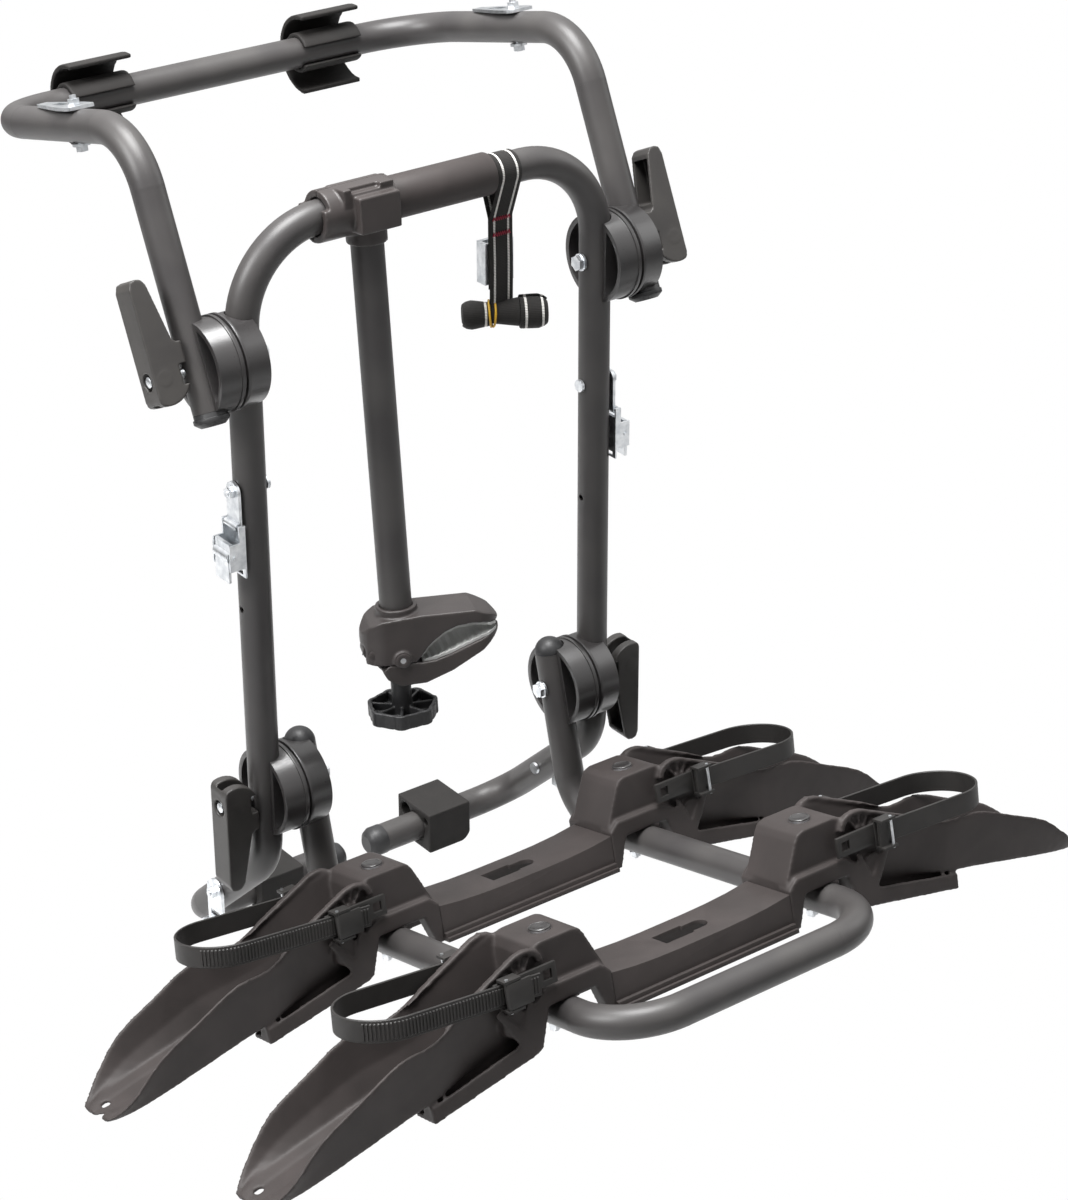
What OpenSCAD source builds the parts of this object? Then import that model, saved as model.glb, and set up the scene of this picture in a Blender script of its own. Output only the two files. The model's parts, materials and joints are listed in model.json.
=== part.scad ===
// Trunk mounted bike rack: a bent tube frame that rests on a car's tailgate,
// a hoop that reaches over the lid, a fork with two wheel trays and a frame clamp.
// Millimetres, +X to the right seen from behind the car, +Y towards the car, +Z up.
// The origin lies midway between the faces of the two bumper pads.

/* [Tubes] */
// Outside diameter of every bent tube
tube_d = 30; // [26:1:34]
// Wall thickness of the tubes
tube_wall = 1.8; // [1.2:0.1:2.6]

/* [Main frame] */
// Half the distance between the two upright legs
leg_x = 193; // [180:1:230]
// Height of the top bar above the lower joint axis
frame_h = 549; // [520:1:640]
// Height of the upper joint axis above the lower one
joint_h = 439; // [400:1:450]
// Bend radius of the two top corners
corner_r = 85; // [75:1:90]
// Depth of the leg bend below the lower joint axis
leg_drop = 74; // [74:1:90]
// How far the bumper bars stand towards the car
bar_fwd = 148; // [140:1:170]
// How far the bumper bars lie below the lower joint axis
bar_drop = 210; // [205:1:230]
// Bend radius under the legs
leg_r = 70; // [60:1:70]
// Bend radius from the slanted run into a bumper bar
bar_r = 45; // [40:1:55]
// Gap between the two bumper bar caps at the middle
bar_gap = 30; // [24:1:40]

/* [Hatch hoop] */
// Lean of the hoop legs towards the car
hoop_tilt = 24.9; // [15:0.1:30]
// Length of a hoop leg from the joint axis to its corner
hoop_leg = 211; // [200:1:260]
// Length of the hoop's reach towards the car
hoop_side = 268; // [260:1:340]
// Fall of the hoop's reach below level
hoop_fall = 13.5; // [6:0.1:18]
// Bend radius at the top of the hoop legs
hoop_r = 64; // [58:1:72]
// Bend radius at the two far corners
hoop_corner_r = 70; // [60:1:74]
// Length of hoop tube below the joint axis
hoop_tail = 38; // [36:1:44]
// Distance from the leg corner to the strap anchor bolt
anchor_s = 97; // [85:1:120]
// Place of the left tailgate pad along the hoop
pad_left_x = -128; // [-134:1:-60]
// Place of the right tailgate pad along the hoop
pad_right_x = 128; // [60:1:134]
// Length of a tailgate pad
pad_len = 66; // [50:1:70]

/* [Fork] */
// Rise of the fork away from the car
fork_tilt = 14.4; // [8:0.1:18]
// Distance from the joint axis down to the fork tubes
fork_drop = 141; // [135:1:160]
// Distance from the joint axis to the front bar
fork_len = 461; // [450:1:500]
// Bend radius under the lower joint
fork_r = 50; // [45:1:60]
// Bend radius of the two front corners
fork_corner_r = 62; // [50:1:70]
// Length of fork tube above the joint axis
fork_top = 34; // [32:1:40]

/* [Friction joints] */
// Distance between the two tubes held by one joint
joint_pitch = 46; // [44:1:52]
// Diameter of the saddle discs
disc_d = 84; // [76:1:90]
// Diameter of the draw bolts
bolt_d = 8; // [6:1:8]

/* [Cam levers] */
// Length of the lever arm above its barrel
lever_len = 87; // [80:1:100]
// Width of a lever
lever_w = 28; // [24:1:32]
// Distance from the barrel to the tube wall
lever_reach = 24.5; // [24:0.5:28]

/* [Frame clamp] */
// Place of the clamp arm along the top bar
arm_x = -63; // [-66:1:-60]
// Lean of the hanging clamp arm
arm_tilt = 5; // [0:0.5:12]
// Length of the arm from the top bar axis to the clamp head
arm_len = 392; // [370:1:400]
// Turn of the clamp head about its arm
head_turn = -24; // [-45:1:0]

/* [Trays] */
// Distance from the joint axis to the rear tray
tray_rear = 93; // [90:1:100]
// Distance from the joint axis to the front tray
tray_front = 358; // [350:1:365]
// Length of a gutter beyond its fork tube
gutter_len = 316; // [300:1:330]
// Half the width between the gutter's upper edges
gutter_top = 44; // [40:1:46]
// Half the width of the gutter's floor beside the hump
gutter_floor = 22; // [20:1:24]
// Half the width of the gutter's floor out in the wing
wing_floor = 33; // [28:1:35]
// Reach of the wheel straps beyond the fork tube
strap_reach = 206; // [190:1:215]

/* [Hidden] */
$fn = 48;
tr = tube_d / 2;
ti = tr - tube_wall;
fit = 0.05;
slip = 0.35;
band_l = 1;
band_t = 0.04;
pad_back = 32;
pad_front = 26;
y_lo = -(bar_fwd + pad_back);
z_lo = bar_drop;
z_up = z_lo + joint_h;
z_top = z_lo + frame_h;
hoop_x = leg_x + joint_pitch;
fork_x = leg_x - joint_pitch;
bolt_r = bolt_d / 2;
disc_r = disc_d / 2;
cap_l = 20;
bar_end = bar_gap / 2 + cap_l;
leg_back = leg_r * tan(atan2(bar_fwd, bar_drop - leg_drop) / 2);
z_seam = z_lo - leg_drop + leg_back + 9;
spigot_l = 24;
barrel_r = 5.5;
bolt_past = 6.5;
spine_x = 10.5;
spine_t = 1.9;
buckle_z = z_lo + 314;
spare_z = z_lo + 196;
sleeve_x0 = arm_x + 25;
sleeve_x1 = 69;
web_x0 = 71;
web_w = 26;
pad_x = 103;
tray_c = 4;

// Helpers

function unit(v) = v / norm(v);

module rod_x(x0, x1, r) {
  translate([x0, 0, 0]) rotate([0, 90, 0]) cylinder(h = x1 - x0, r = r);
}

module rod_y(y0, y1, r) {
  translate([0, y0, 0]) rotate([-90, 0, 0]) cylinder(h = y1 - y0, r = r);
}

module hex_x(x0, x1, flats) {
  translate([x0, 0, 0]) rotate([0, 90, 0]) cylinder(h = x1 - x0, r = flats / sqrt(3), $fn = 6);
}

module straight(p, q, r) {
  d = q - p;
  l = norm(d);
  translate(p) rotate([0, acos(d[2] / l), atan2(d[1], d[0])]) cylinder(h = l, r = r);
}

module elbow(p0, p1, p2, rb, r) {
  d1 = unit(p1 - p0);
  d2 = unit(p2 - p1);
  th = acos(d1 * d2);
  n = unit(d2 - d1 * (d1 * d2));
  k = cross(d1, n);
  c = p1 - d1 * (rb * tan(th / 2)) + n * rb;
  multmatrix([[-n[0], d1[0], k[0], c[0]], [-n[1], d1[1], k[1], c[1]], [-n[2], d1[2], k[2], c[2]], [0, 0, 0, 1]])
    rotate_extrude(angle = th) translate([rb, 0]) circle(r = r);
}

function turn(p0, p1, p2) = acos(unit(p1 - p0) * unit(p2 - p1));

// A bent rod through corner points, each corner rounded by its own radius.
// A band a hair wider than the rod bridges every change from run to bend.
module bent_rod(pts, rad, r) {
  n = len(pts);
  back = [for (i = [0:n - 1]) (i == 0 || i == n - 1) ? 0 : rad[i] * tan(turn(pts[i - 1], pts[i], pts[i + 1]) / 2)];
  for (i = [0:n - 2]) {
    d = unit(pts[i + 1] - pts[i]);
    p = pts[i] + d * back[i];
    q = pts[i + 1] - d * back[i + 1];
    straight(p, q, r);
    if (i > 0) straight(p - d * band_l, p + d * band_l, r + band_t);
    if (i < n - 2) straight(q - d * band_l, q + d * band_l, r + band_t);
  }
  for (i = [1:n - 2]) elbow(pts[i - 1], pts[i], pts[i + 1], rad[i], r);
}

module bent_tube(pts, rad, ends) {
  difference() {
    bent_rod(pts, rad, tr);
    bent_rod(ends, rad, ti);
  }
}

// The same corner points with the two ends drawn out, for the hollow of a tube
function drawn(pts) = let (n = len(pts)) [for (i = [0:n - 1])
  i == 0 ? pts[0] - unit(pts[1] - pts[0]) : i == n - 1 ? pts[i] + unit(pts[i] - pts[i - 1]) : pts[i]];

module hoop_frame() {
  translate([0, y_lo, z_up]) rotate([-hoop_tilt, 0, 0]) children();
}

module fork_frame() {
  translate([0, y_lo, z_lo]) rotate([-fork_tilt, 0, 0]) children();
}

module side_frame(s) {
  translate([s * hoop_x, y_lo + hoop_leg * sin(hoop_tilt), z_up + hoop_leg * cos(hoop_tilt)])
    rotate([-hoop_fall, 0, 0]) translate([0, anchor_s, 0]) children();
}

module arm_frame() {
  translate([arm_x, y_lo, z_top]) rotate([-arm_tilt, 0, 0]) children();
}

module head_frame() {
  arm_frame() translate([0, 0, -arm_len]) rotate([0, 0, head_turn]) children();
}

module mirrored(s) {
  if (s < 0) mirror([1, 0, 0]) children();
  else children();
}

module tray_frame(s, y) {
  fork_frame() mirrored(s) translate([fork_x, -y, -fork_drop]) children();
}

// Main frame

// Upper tube: both legs and the top bar. Its open ends lie inside the lower joints.
module main_frame_tube() {
  corner = min(corner_r, frame_h - joint_h - disc_r / 2);
  pts = [[-leg_x, y_lo, z_seam], [-leg_x, y_lo, z_top], [leg_x, y_lo, z_top], [leg_x, y_lo, z_seam]];
  color([0.25, 0.25, 0.27]) difference() {
    bent_tube(pts, [0, corner, corner, 0], drawn(pts));
    for (s = [-1, 1]) {
      for (z = [z_lo, z_up]) translate([s * leg_x, y_lo, z]) rod_x(-tr - 1, tr + 1, bolt_r + 0.1);
      for (z = [buckle_z, spare_z]) translate([s * leg_x, y_lo, z]) rod_x(-tr - 1, tr + 1, 3.1);
    }
  }
}

// Foot tubes: bend under the leg, slanted run and bumper bar, plugged into the leg by a spigot
module foot_tubes() {
  rad = [0, leg_r, bar_r, 0];
  color([0.25, 0.25, 0.27]) for (s = [-1, 1]) {
    run = [[s * leg_x, y_lo, z_lo - leg_drop], [s * leg_x, -pad_back, 0]];
    end = [s * bar_end, -pad_back, 0];
    difference() {
      union() {
        bent_rod(concat([[s * leg_x, y_lo, z_seam - 0.2]], run, [end]), rad, tr);
        translate([s * leg_x, y_lo, z_seam - 2]) cylinder(h = spigot_l + 2, r = ti - 0.1);
      }
      bent_rod(concat([[s * leg_x, y_lo, z_seam - 5]], run, [end - [s, 0, 0]]), rad, ti);
      translate([s * leg_x, y_lo, z_seam - 6]) cylinder(h = spigot_l + 20, r = ti - tube_wall);
      lower_anchor_at(s) rod_x(-tr - 1, tr + 1, 3.1);
    }
  }
}

module lower_anchor_at(s) {
  f = 0.49;
  translate([s * leg_x, y_lo + f * (bar_fwd), z_lo - leg_drop - f * (bar_drop - leg_drop)]) children();
}

module bumper_bar_caps() {
  dome_r = tr + 0.6;
  color([0.08, 0.08, 0.08]) for (s = [-1, 1]) mirrored(s) translate([bar_end, -pad_back, 0]) {
    rod_x(8 - cap_l, -0.2, dome_r);
    translate([3 - cap_l, 0, 0]) rotate([0, 90, 0]) cylinder(h = 5, r1 = dome_r - 2.6, r2 = dome_r);
    translate([-cap_l, 0, 0]) rotate([0, 90, 0]) cylinder(h = 3, r1 = dome_r - 7, r2 = dome_r - 2.6);
    rod_x(-1, 14, ti - 0.15);
  }
}

module bumper_pad(s) {
  color([0.12, 0.12, 0.11]) mirrored(s) translate([pad_x - 26, -pad_back, 0]) difference() {
    union() {
      translate([0, -pad_front, -14]) cube([52, pad_front + pad_back, 37]);
      translate([0, -pad_front, -22]) cube([40, pad_front + pad_back, 20]);
      translate([40, -pad_front, -10]) rod_y(0, pad_front + pad_back, 12);
    }
    rod_x(-1, 53, tr + fit);
    translate([0, 18, 10]) rod_x(-1, 16, 8.5);
    translate([0, -17, 12]) rod_x(-1, 12, 4);
  }
}

module bumper_pads() { for (s = [-1, 1]) bumper_pad(s); }

module top_bar_sleeve() {
  color([0.2, 0.19, 0.19]) translate([0, y_lo, z_top]) difference() {
    rod_x(sleeve_x0, sleeve_x1, 19.5);
    rod_x(sleeve_x0 - 1, sleeve_x1 + 1, tr + fit);
  }
}

// Friction joints

// One saddle disc: mid plane of the joint at x = 0, its tube along z at half the pitch.
module saddle_disc() {
  gap = 1.5;
  depth = joint_pitch / 2 + 2;
  difference() {
    union() {
      rod_x(gap, gap + 3, disc_r + 1.5);
      rod_x(gap, 8, disc_r);
      difference() {
        rod_x(gap, depth, disc_r);
        rod_x(7, depth + 1, disc_r - 5);
      }
      intersection() {
        rod_x(gap, depth, disc_r - 1);
        translate([gap, -tr - 4, -disc_r]) cube([depth - gap, 2 * tr + 8, disc_d]);
      }
    }
    translate([joint_pitch / 2, 0, -disc_r - 5]) cylinder(h = disc_d + 10, r = tr + fit);
    rod_x(-1, depth + 1, bolt_r + slip);
  }
}

module upper_mid(s) { translate([s * (leg_x + joint_pitch / 2), 0, 0]) children(); }
module lower_mid(s) { translate([s * (leg_x - joint_pitch / 2), 0, 0]) children(); }

module upper_inner_discs() {
  color([0.1, 0.1, 0.11]) for (s = [-1, 1]) translate([0, y_lo, z_up]) upper_mid(s) mirrored(-s) saddle_disc();
}

module upper_outer_discs() {
  color([0.1, 0.1, 0.11]) for (s = [-1, 1]) hoop_frame() upper_mid(s) mirrored(s) saddle_disc();
}

module lower_outer_discs() {
  color([0.1, 0.1, 0.11]) for (s = [-1, 1]) translate([0, y_lo, z_lo]) lower_mid(s) mirrored(s) saddle_disc();
}

module lower_inner_discs() {
  color([0.1, 0.1, 0.11]) for (s = [-1, 1]) fork_frame() lower_mid(s) mirrored(-s) saddle_disc();
}

module friction_rings() {
  color([0.16, 0.16, 0.16]) for (s = [-1, 1]) {
    translate([0, y_lo, z_up]) upper_mid(s) friction_ring();
    translate([0, y_lo, z_lo]) lower_mid(s) friction_ring();
  }
}

module friction_ring() {
  difference() {
    rod_x(-1.1, 1.1, disc_r - 0.5);
    rod_x(-2, 2, bolt_r + fit);
  }
}

module joint_bolts() {
  color([0.75, 0.76, 0.77]) for (s = [-1, 1]) mirrored(s) {
    translate([0, y_lo, z_up]) joint_bolt(leg_x - tr, hoop_x + tr + lever_reach + bolt_past);
    translate([0, y_lo, z_lo]) joint_bolt(fork_x - tr, leg_x + tr + lever_reach + bolt_past);
  }
}

module joint_bolt(x0, x1) {
  rod_x(x0 - 1.5, x1, bolt_r);
  rod_x(x0 - 2.6, x0 - 0.4, bolt_r + 4.4);
  hex_x(x0 - 7.6, x0 - 2.4, 13);
}

// Cam levers

// Lever in its own frame: barrel along y at the origin, tube wall at x = lever_reach, arm along +z.
module cam_lever() {
  r = lever_reach - 0.6;
  lower = [for (a = [0:-9:-108]) [r * cos(a), r * sin(a)]];
  pts = concat(
    [[-spine_x, -17], [-spine_x, lever_len - 8], [-8, lever_len - 1.5], [-3, lever_len], [2, lever_len - 1],
     [6, lever_len - 6], [16, 31], [19, 28.5], [r, 28]],
    lower,
    [[-9.4, -20.6]]
  );
  difference() {
    rotate([90, 0, 0]) linear_extrude(height = lever_w, center = true) polygon(pts);
    rod_y(-lever_w, lever_w, barrel_r + fit);
    rod_y(-5, 5, 8);
    translate([0, -5, -60]) cube([60, 10, 65]);
    translate([spine_t - spine_x, -5, -60]) cube([40, 10, 60]);
    rod_x(-20, 0, 6);
    translate([lever_reach - 8, -lever_w, -9]) cube([20, 2 * lever_w, 18]);
    translate([-5, -lever_w / 2 + 3.5, 36]) cube([40, lever_w - 7, lever_len - 46]);
  }
}

module lever_barrel() {
  difference() {
    rod_y(-lever_w / 2 + 1, lever_w / 2 - 1, barrel_r);
    rod_x(-10, 10, bolt_r + fit);
  }
}

module upper_lever_at(s) { hoop_frame() mirrored(-s) translate([-(hoop_x + tr + lever_reach), 0, 0]) children(); }
module lower_lever_at(s) {
  translate([0, y_lo, z_lo]) mirrored(-s) translate([-(leg_x + tr + lever_reach), 0, 0]) mirror([0, 0, 1]) children();
}

module upper_lever_left() { color([0.15, 0.15, 0.15]) upper_lever_at(-1) cam_lever(); }
module upper_lever_right() { color([0.15, 0.15, 0.15]) upper_lever_at(1) cam_lever(); }
module lower_lever_left() { color([0.15, 0.15, 0.15]) lower_lever_at(-1) cam_lever(); }
module lower_lever_right() { color([0.15, 0.15, 0.15]) lower_lever_at(1) cam_lever(); }
module upper_lever_barrels() { color([0.7, 0.7, 0.7]) for (s = [-1, 1]) upper_lever_at(s) lever_barrel(); }
module lower_lever_barrels() { color([0.7, 0.7, 0.7]) for (s = [-1, 1]) lower_lever_at(s) lever_barrel(); }

// Strap buckles on the legs

module buckle_at(s) { translate([0, y_lo, buckle_z]) mirrored(s) translate([leg_x + tr, 0, 0]) children(); }

// Bolts through the legs and the slanted runs
module frame_bolts() {
  color([0.75, 0.76, 0.77]) for (s = [-1, 1]) {
    buckle_at(s) frame_bolt();
    lower_anchor_at(s) mirrored(s) translate([tr, 0, 0]) frame_bolt();
  }
}

module frame_bolt() {
  rod_x(-tube_d - 1, 10, 3);
  rod_x(-tube_d - 3.5, -tube_d - 0.5, 6);
  hex_x(3.6, 8.6, 10);
}

module leg_buckle_tab(s) {
  color([0.2, 0.2, 0.2]) buckle_at(s) difference() {
    union() {
      rod_x(0.6, 3.4, 10);
      translate([0.6, -10, -30]) cube([2.8, 20, 30]);
      translate([4.4, -10, -31]) rod_y(0, 20, 3.6);
    }
    rod_x(-1, 12, 3 + fit);
    translate([4.4, -11, -31]) rod_y(0, 22, 1.7);
  }
}
module leg_buckle_tabs() { for (s = [-1, 1]) leg_buckle_tab(s); }

// Buckle frame: base plate, two cheeks, a hook bar through the tab and a cam pin.
module leg_buckle_frame(s) {
  color([0.72, 0.73, 0.74]) buckle_at(s) {
    difference() {
      union() {
        translate([0.6, -14.5, -80]) cube([1.6, 29, 43]);
        for (y = [-14.5, 12.7]) {
          translate([0.6, y, -70]) cube([17, 1.8, 26]);
          translate([0.6, y, -46]) cube([6.4, 1.8, 18]);
        }
      }
      translate([0, -10, -78]) cube([5, 20, 4]);
    }
    translate([4.4, -13, -31]) rod_y(0, 26, 1.6);
    translate([13, -16, -57]) rod_y(0, 32, 2);
  }
}
module leg_buckle_frames() { for (s = [-1, 1]) leg_buckle_frame(s); }

module leg_buckle_lever(s) {
  color([0.7, 0.71, 0.72]) buckle_at(s) difference() {
    union() {
      translate([13, -12, -57]) rod_y(0, 24, 6.5);
      translate([13, -12, -58]) cube([3.5, 24, 14]);
      translate([15, -11, -82]) cube([2.5, 22, 28]);
    }
    translate([13, -20, -57]) rod_y(0, 40, 2 + fit);
  }
}
module leg_buckle_lever_left() { leg_buckle_lever(-1); }
module leg_buckle_lever_right() { leg_buckle_lever(1); }

// Lower strap anchors on the slanted runs

module lower_anchor(s) {
  color([0.74, 0.75, 0.76]) lower_anchor_at(s) mirrored(s) translate([tr + 0.4, 0, 0]) difference() {
    union() {
      rod_x(0, 3, 13);
      translate([0, -13, -34]) cube([3, 26, 34]);
      translate([0, -13, -37]) cube([10, 26, 3]);
    }
    rod_x(-1, 5, 3 + fit);
    translate([-1, -8, -28]) cube([5, 16, 6]);
  }
}
module lower_anchors() { for (s = [-1, 1]) lower_anchor(s); }

// Retaining strap: a sewn loop round the top bar, a hanging double ply and a wound tail

// A strip wound in a flat spiral from radius r0 to r1, seen along x.
module spiral(r0, turns, pitch, t) {
  n = round(turns * 20);
  function rad(i) = r0 + pitch * turns * i / n;
  outer = [for (i = [0:n]) [(rad(i) + t) * cos(360 * turns * i / n), (rad(i) + t) * sin(360 * turns * i / n)]];
  inner = [for (i = [n:-1:0]) [rad(i) * cos(360 * turns * i / n), rad(i) * sin(360 * turns * i / n)]];
  polygon(concat(outer, inner));
}

web_t = 1.5;
wind_pitch = 2.2;
wind_turns = 4;
wind_r0 = 6.2;
loop_d = 36;
core_turns = 2;
core_r = wind_r0 + wind_pitch * core_turns + web_t;
roll_z = -138;
roll_r = wind_r0 + wind_pitch * wind_turns + web_t;
echo(wound_strap_self_gap = wind_pitch - web_t);

// Round loop drawn together to a point below, seen along the bar
module strap_eye(r) {
  b = asin((tr + 0.4) / loop_d);
  circle(r = r);
  polygon([[0, 0], [r * sin(b), -r * cos(b)], [r / sin(b), 0], [r * sin(b), r * cos(b)]]);
}

module retaining_strap() {
  lr = tr + 0.4;
  color([0.05, 0.05, 0.05]) translate([web_x0, y_lo, z_top]) {
    rotate([0, 90, 0]) linear_extrude(height = web_w) difference() {
      strap_eye(lr + web_t);
      strap_eye(lr);
    }
    translate([0, -web_t, roll_z + core_r + 8]) cube([web_w, 2 * web_t, -roll_z - core_r - 8 - loop_d + 1]);
    translate([web_w / 2 - 3, -web_t, roll_z + core_r - web_t]) cube([web_w / 2 + 3, 2 * web_t, 12]);
    roll_frame() {
      wound(-35, -11, wind_turns);
      wound(-12, 7, core_turns);
      wound(6, 45, wind_turns);
    }
  }
}

module roll_frame() {
  translate([web_w / 2, 0, roll_z]) rotate([0, 0, -30]) children();
}

// A stretch of the wound tail, from x0 to x1 along the roll
module wound(x0, x1, turns) {
  translate([x0, 0, 0]) rotate([90, 0, 90]) linear_extrude(height = x1 - x0)
    rotate([0, 0, 90]) spiral(wind_r0, turns, wind_pitch, web_t);
}

module rubber_band() {
  color([0.8, 0.65, 0.2]) translate([web_x0, y_lo, z_top]) roll_frame() translate([-9.5, 0, 0]) difference() {
    rod_x(0, 3, core_r + 1.5);
    rod_x(-1, 4, core_r + 0.3);
  }
}

module strap_buckle() {
  color([0.75, 0.76, 0.77]) translate([web_x0, y_lo, z_top]) difference() {
    translate([-3, web_t + 0.3, -108]) cube([web_w + 6, 13, 40]);
    translate([0, 4, -112]) cube([web_w, 7, 48]);
    translate([2, 6, -100]) cube([web_w - 4, 20, 18]);
  }
}

// Hatch hoop

function hoop_corner(s) = [s * hoop_x, y_lo + hoop_leg * sin(hoop_tilt), z_up + hoop_leg * cos(hoop_tilt)];
function hoop_far(s) = hoop_corner(s) + hoop_side * [0, cos(hoop_fall), -sin(hoop_fall)];
function hoop_foot(s) = [s * hoop_x, y_lo - hoop_tail * sin(hoop_tilt), z_up - hoop_tail * cos(hoop_tilt)];

module hoop_tube() {
  pts = [hoop_foot(-1), hoop_corner(-1), hoop_far(-1), hoop_far(1), hoop_corner(1), hoop_foot(1)];
  rad = [0, hoop_r, hoop_corner_r, hoop_corner_r, hoop_r, 0];
  color([0.25, 0.25, 0.27]) difference() {
    bent_tube(pts, rad, drawn(pts));
    for (s = [-1, 1]) {
      translate([s * hoop_x, y_lo, z_up]) rod_x(-tr - 1, tr + 1, bolt_r + slip);
      side_frame(s) cylinder(h = 60, r = 3.1, center = true);
    }
  }
}

module hoop_end_plugs() {
  head = max(hoop_tail, disc_r) + 0.4;
  color([0.06, 0.06, 0.06]) hoop_frame() for (s = [-1, 1]) translate([s * hoop_x, 0, 0]) {
    translate([0, 0, -head - 4]) cylinder(h = 4, r = tr + 1.2);
    translate([0, 0, -head - 8]) cylinder(h = 4, r1 = tr - 4, r2 = tr + 1.2);
    translate([0, 0, -head]) cylinder(h = head - hoop_tail - 0.2, r = tr);
    translate([0, 0, -head]) cylinder(h = head - hoop_tail + 14, r = ti - fit);
  }
}

// Tailgate pad: a clip that hugs the bar and a curved shell on the car side.
module tailgate_pad(x) {
  color([0.07, 0.07, 0.07]) translate([x - pad_len / 2, hoop_far(1)[1], hoop_far(1)[2]]) rotate([90, 0, 90])
    linear_extrude(height = pad_len) {
      difference() {
        circle(r = tr + 4.5);
        circle(r = tr + fit);
        translate([-60, -9]) square([60, 18]);
      }
      difference() {
        translate([-9, 0]) circle(r = 39);
        translate([-9, 0]) circle(r = 34.5);
        translate([-100, -60]) square([88, 120]);
      }
      translate([tr + 3, -5]) square([9, 10]);
    }
}
module tailgate_pad_left() { tailgate_pad(pad_left_x); }
module tailgate_pad_right() { tailgate_pad(pad_right_x); }

module hoop_anchor(s) {
  color([0.74, 0.75, 0.76]) side_frame(s) translate([0, 0, tr + 0.2]) difference() {
    linear_extrude(height = 3) polygon([[-12, -14], [12, -14], [14, -8], [14, 8], [5, 62], [-5, 62], [-14, 8], [-14, -8]]);
    translate([0, 0, -1]) cylinder(h = 6, r = 3 + fit);
    translate([-4, 16, -1]) cube([8, 20, 6]);
  }
}
module hoop_anchors() { for (s = [-1, 1]) hoop_anchor(s); }

module hoop_anchor_bolts() {
  color([0.75, 0.76, 0.77]) for (s = [-1, 1]) side_frame(s) {
    translate([0, 0, -tr - 8]) cylinder(h = 2 * tr + 20, r = 3);
    translate([0, 0, -tr - 2.7]) cylinder(h = 2.4, r = 8);
    translate([0, 0, -tr - 7.6]) cylinder(h = 5, r = 10 / sqrt(3), $fn = 6);
    translate([0, 0, tr + 3.4]) cylinder(h = 5.2, r = 10 / sqrt(3), $fn = 6);
  }
}

// Fork

module fork_tube() {
  side = [[fork_x, 0, fork_top], [fork_x, 0, -fork_drop], [fork_x, -fork_len, -fork_drop]];
  pts = concat([for (i = [0:2]) [-side[i][0], side[i][1], side[i][2]]], [for (i = [2:-1:0]) side[i]]);
  rad = [0, fork_r, fork_corner_r, fork_corner_r, fork_r, 0];
  color([0.25, 0.25, 0.27]) fork_frame() difference() {
    bent_tube(pts, rad, drawn(pts));
    for (s = [-1, 1]) {
      translate([s * fork_x, 0, 0]) rod_x(-tr - 1, tr + 1, bolt_r + slip);
      for (y = [tray_rear, tray_front]) translate([s * fork_x, -y, -fork_drop]) cylinder(h = 60, r = 3.1, center = true);
    }
  }
}

module fork_end_caps() {
  color([0.08, 0.08, 0.08]) fork_frame() for (s = [-1, 1]) translate([s * fork_x, 0, fork_top]) {
    difference() {
      translate([0, 0, 1]) sphere(r = tr);
      translate([-30, -30, -60]) cube([60, 60, 60]);
    }
    translate([0, 0, -12]) cylinder(h = 12, r = ti - fit);
  }
}

// Wheel trays

beam_w = 60;
ledge_w = 74;
module tray_beam(y) {
  half = fork_x - 46 - fit;
  top = [for (i = [-4:4]) [half * i / 4, 16 + 5 * pow(abs(i) / 4, 3)]];
  color([0.2, 0.19, 0.19]) fork_frame() translate([0, -y, -fork_drop]) difference() {
    union() {
      rotate([90, 0, 0]) linear_extrude(height = beam_w, center = true)
        polygon(concat(top, [[half, -13], [-half, -13]]));
      translate([-half, -ledge_w / 2, -14]) cube([2 * half, ledge_w, 4]);
      translate([-half, 3 - ledge_w / 2, -10.5]) cube([2 * half, ledge_w - 6, 4.5]);
    }
    rotate([90, 0, 0]) linear_extrude(height = beam_w - 8, center = true)
      polygon(concat([[-half - 1, -20]], [for (p = top) [p[0] * 1.02, p[1] - 4]], [[half + 1, -20]]));
    translate([-26, -11, 0]) cube([32, 22, 60]);
    translate([5, -8.5, 0]) cube([13.5, 17, 60]);
    translate([18.5, 0, 0]) cylinder(h = 60, r = 8.5);
  }
}
module rear_tray_beam() { tray_beam(tray_rear); }
module front_tray_beam() { tray_beam(tray_front); }

// Gutter sections from the hump to the tip: place, half top width, half floor width, edge height, floor height
g = gutter_len / 316;
g_tab = [
  [24, 30, 20, 70, -3], [60, 32, 21, 61, -8], [100, 34, gutter_floor + 1, 45, -15],
  [141 * g, gutter_top - 4, wing_floor - 1, 29, -23], [179 * g, gutter_top, wing_floor, 27, -30],
  [221 * g, gutter_top, wing_floor, 9, -39], [263 * g, gutter_top - 1, wing_floor - 1, -11, -48],
  [292 * g, gutter_top - 5, wing_floor - 4, -37, -54], [308 * g, gutter_top - 13, wing_floor - 10, -50, -57],
  [316 * g, 24, 17, -54, -58],
];

// A row between rows b and c of the table, on a smooth curve through all of them
function g_mid(a, b, c, d, t) =
  b + (c - a) * t / 2 + (a - 2.5 * b + 2 * c - d / 2) * t * t + (1.5 * b - a / 2 - 1.5 * c + d / 2) * t * t * t;

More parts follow.
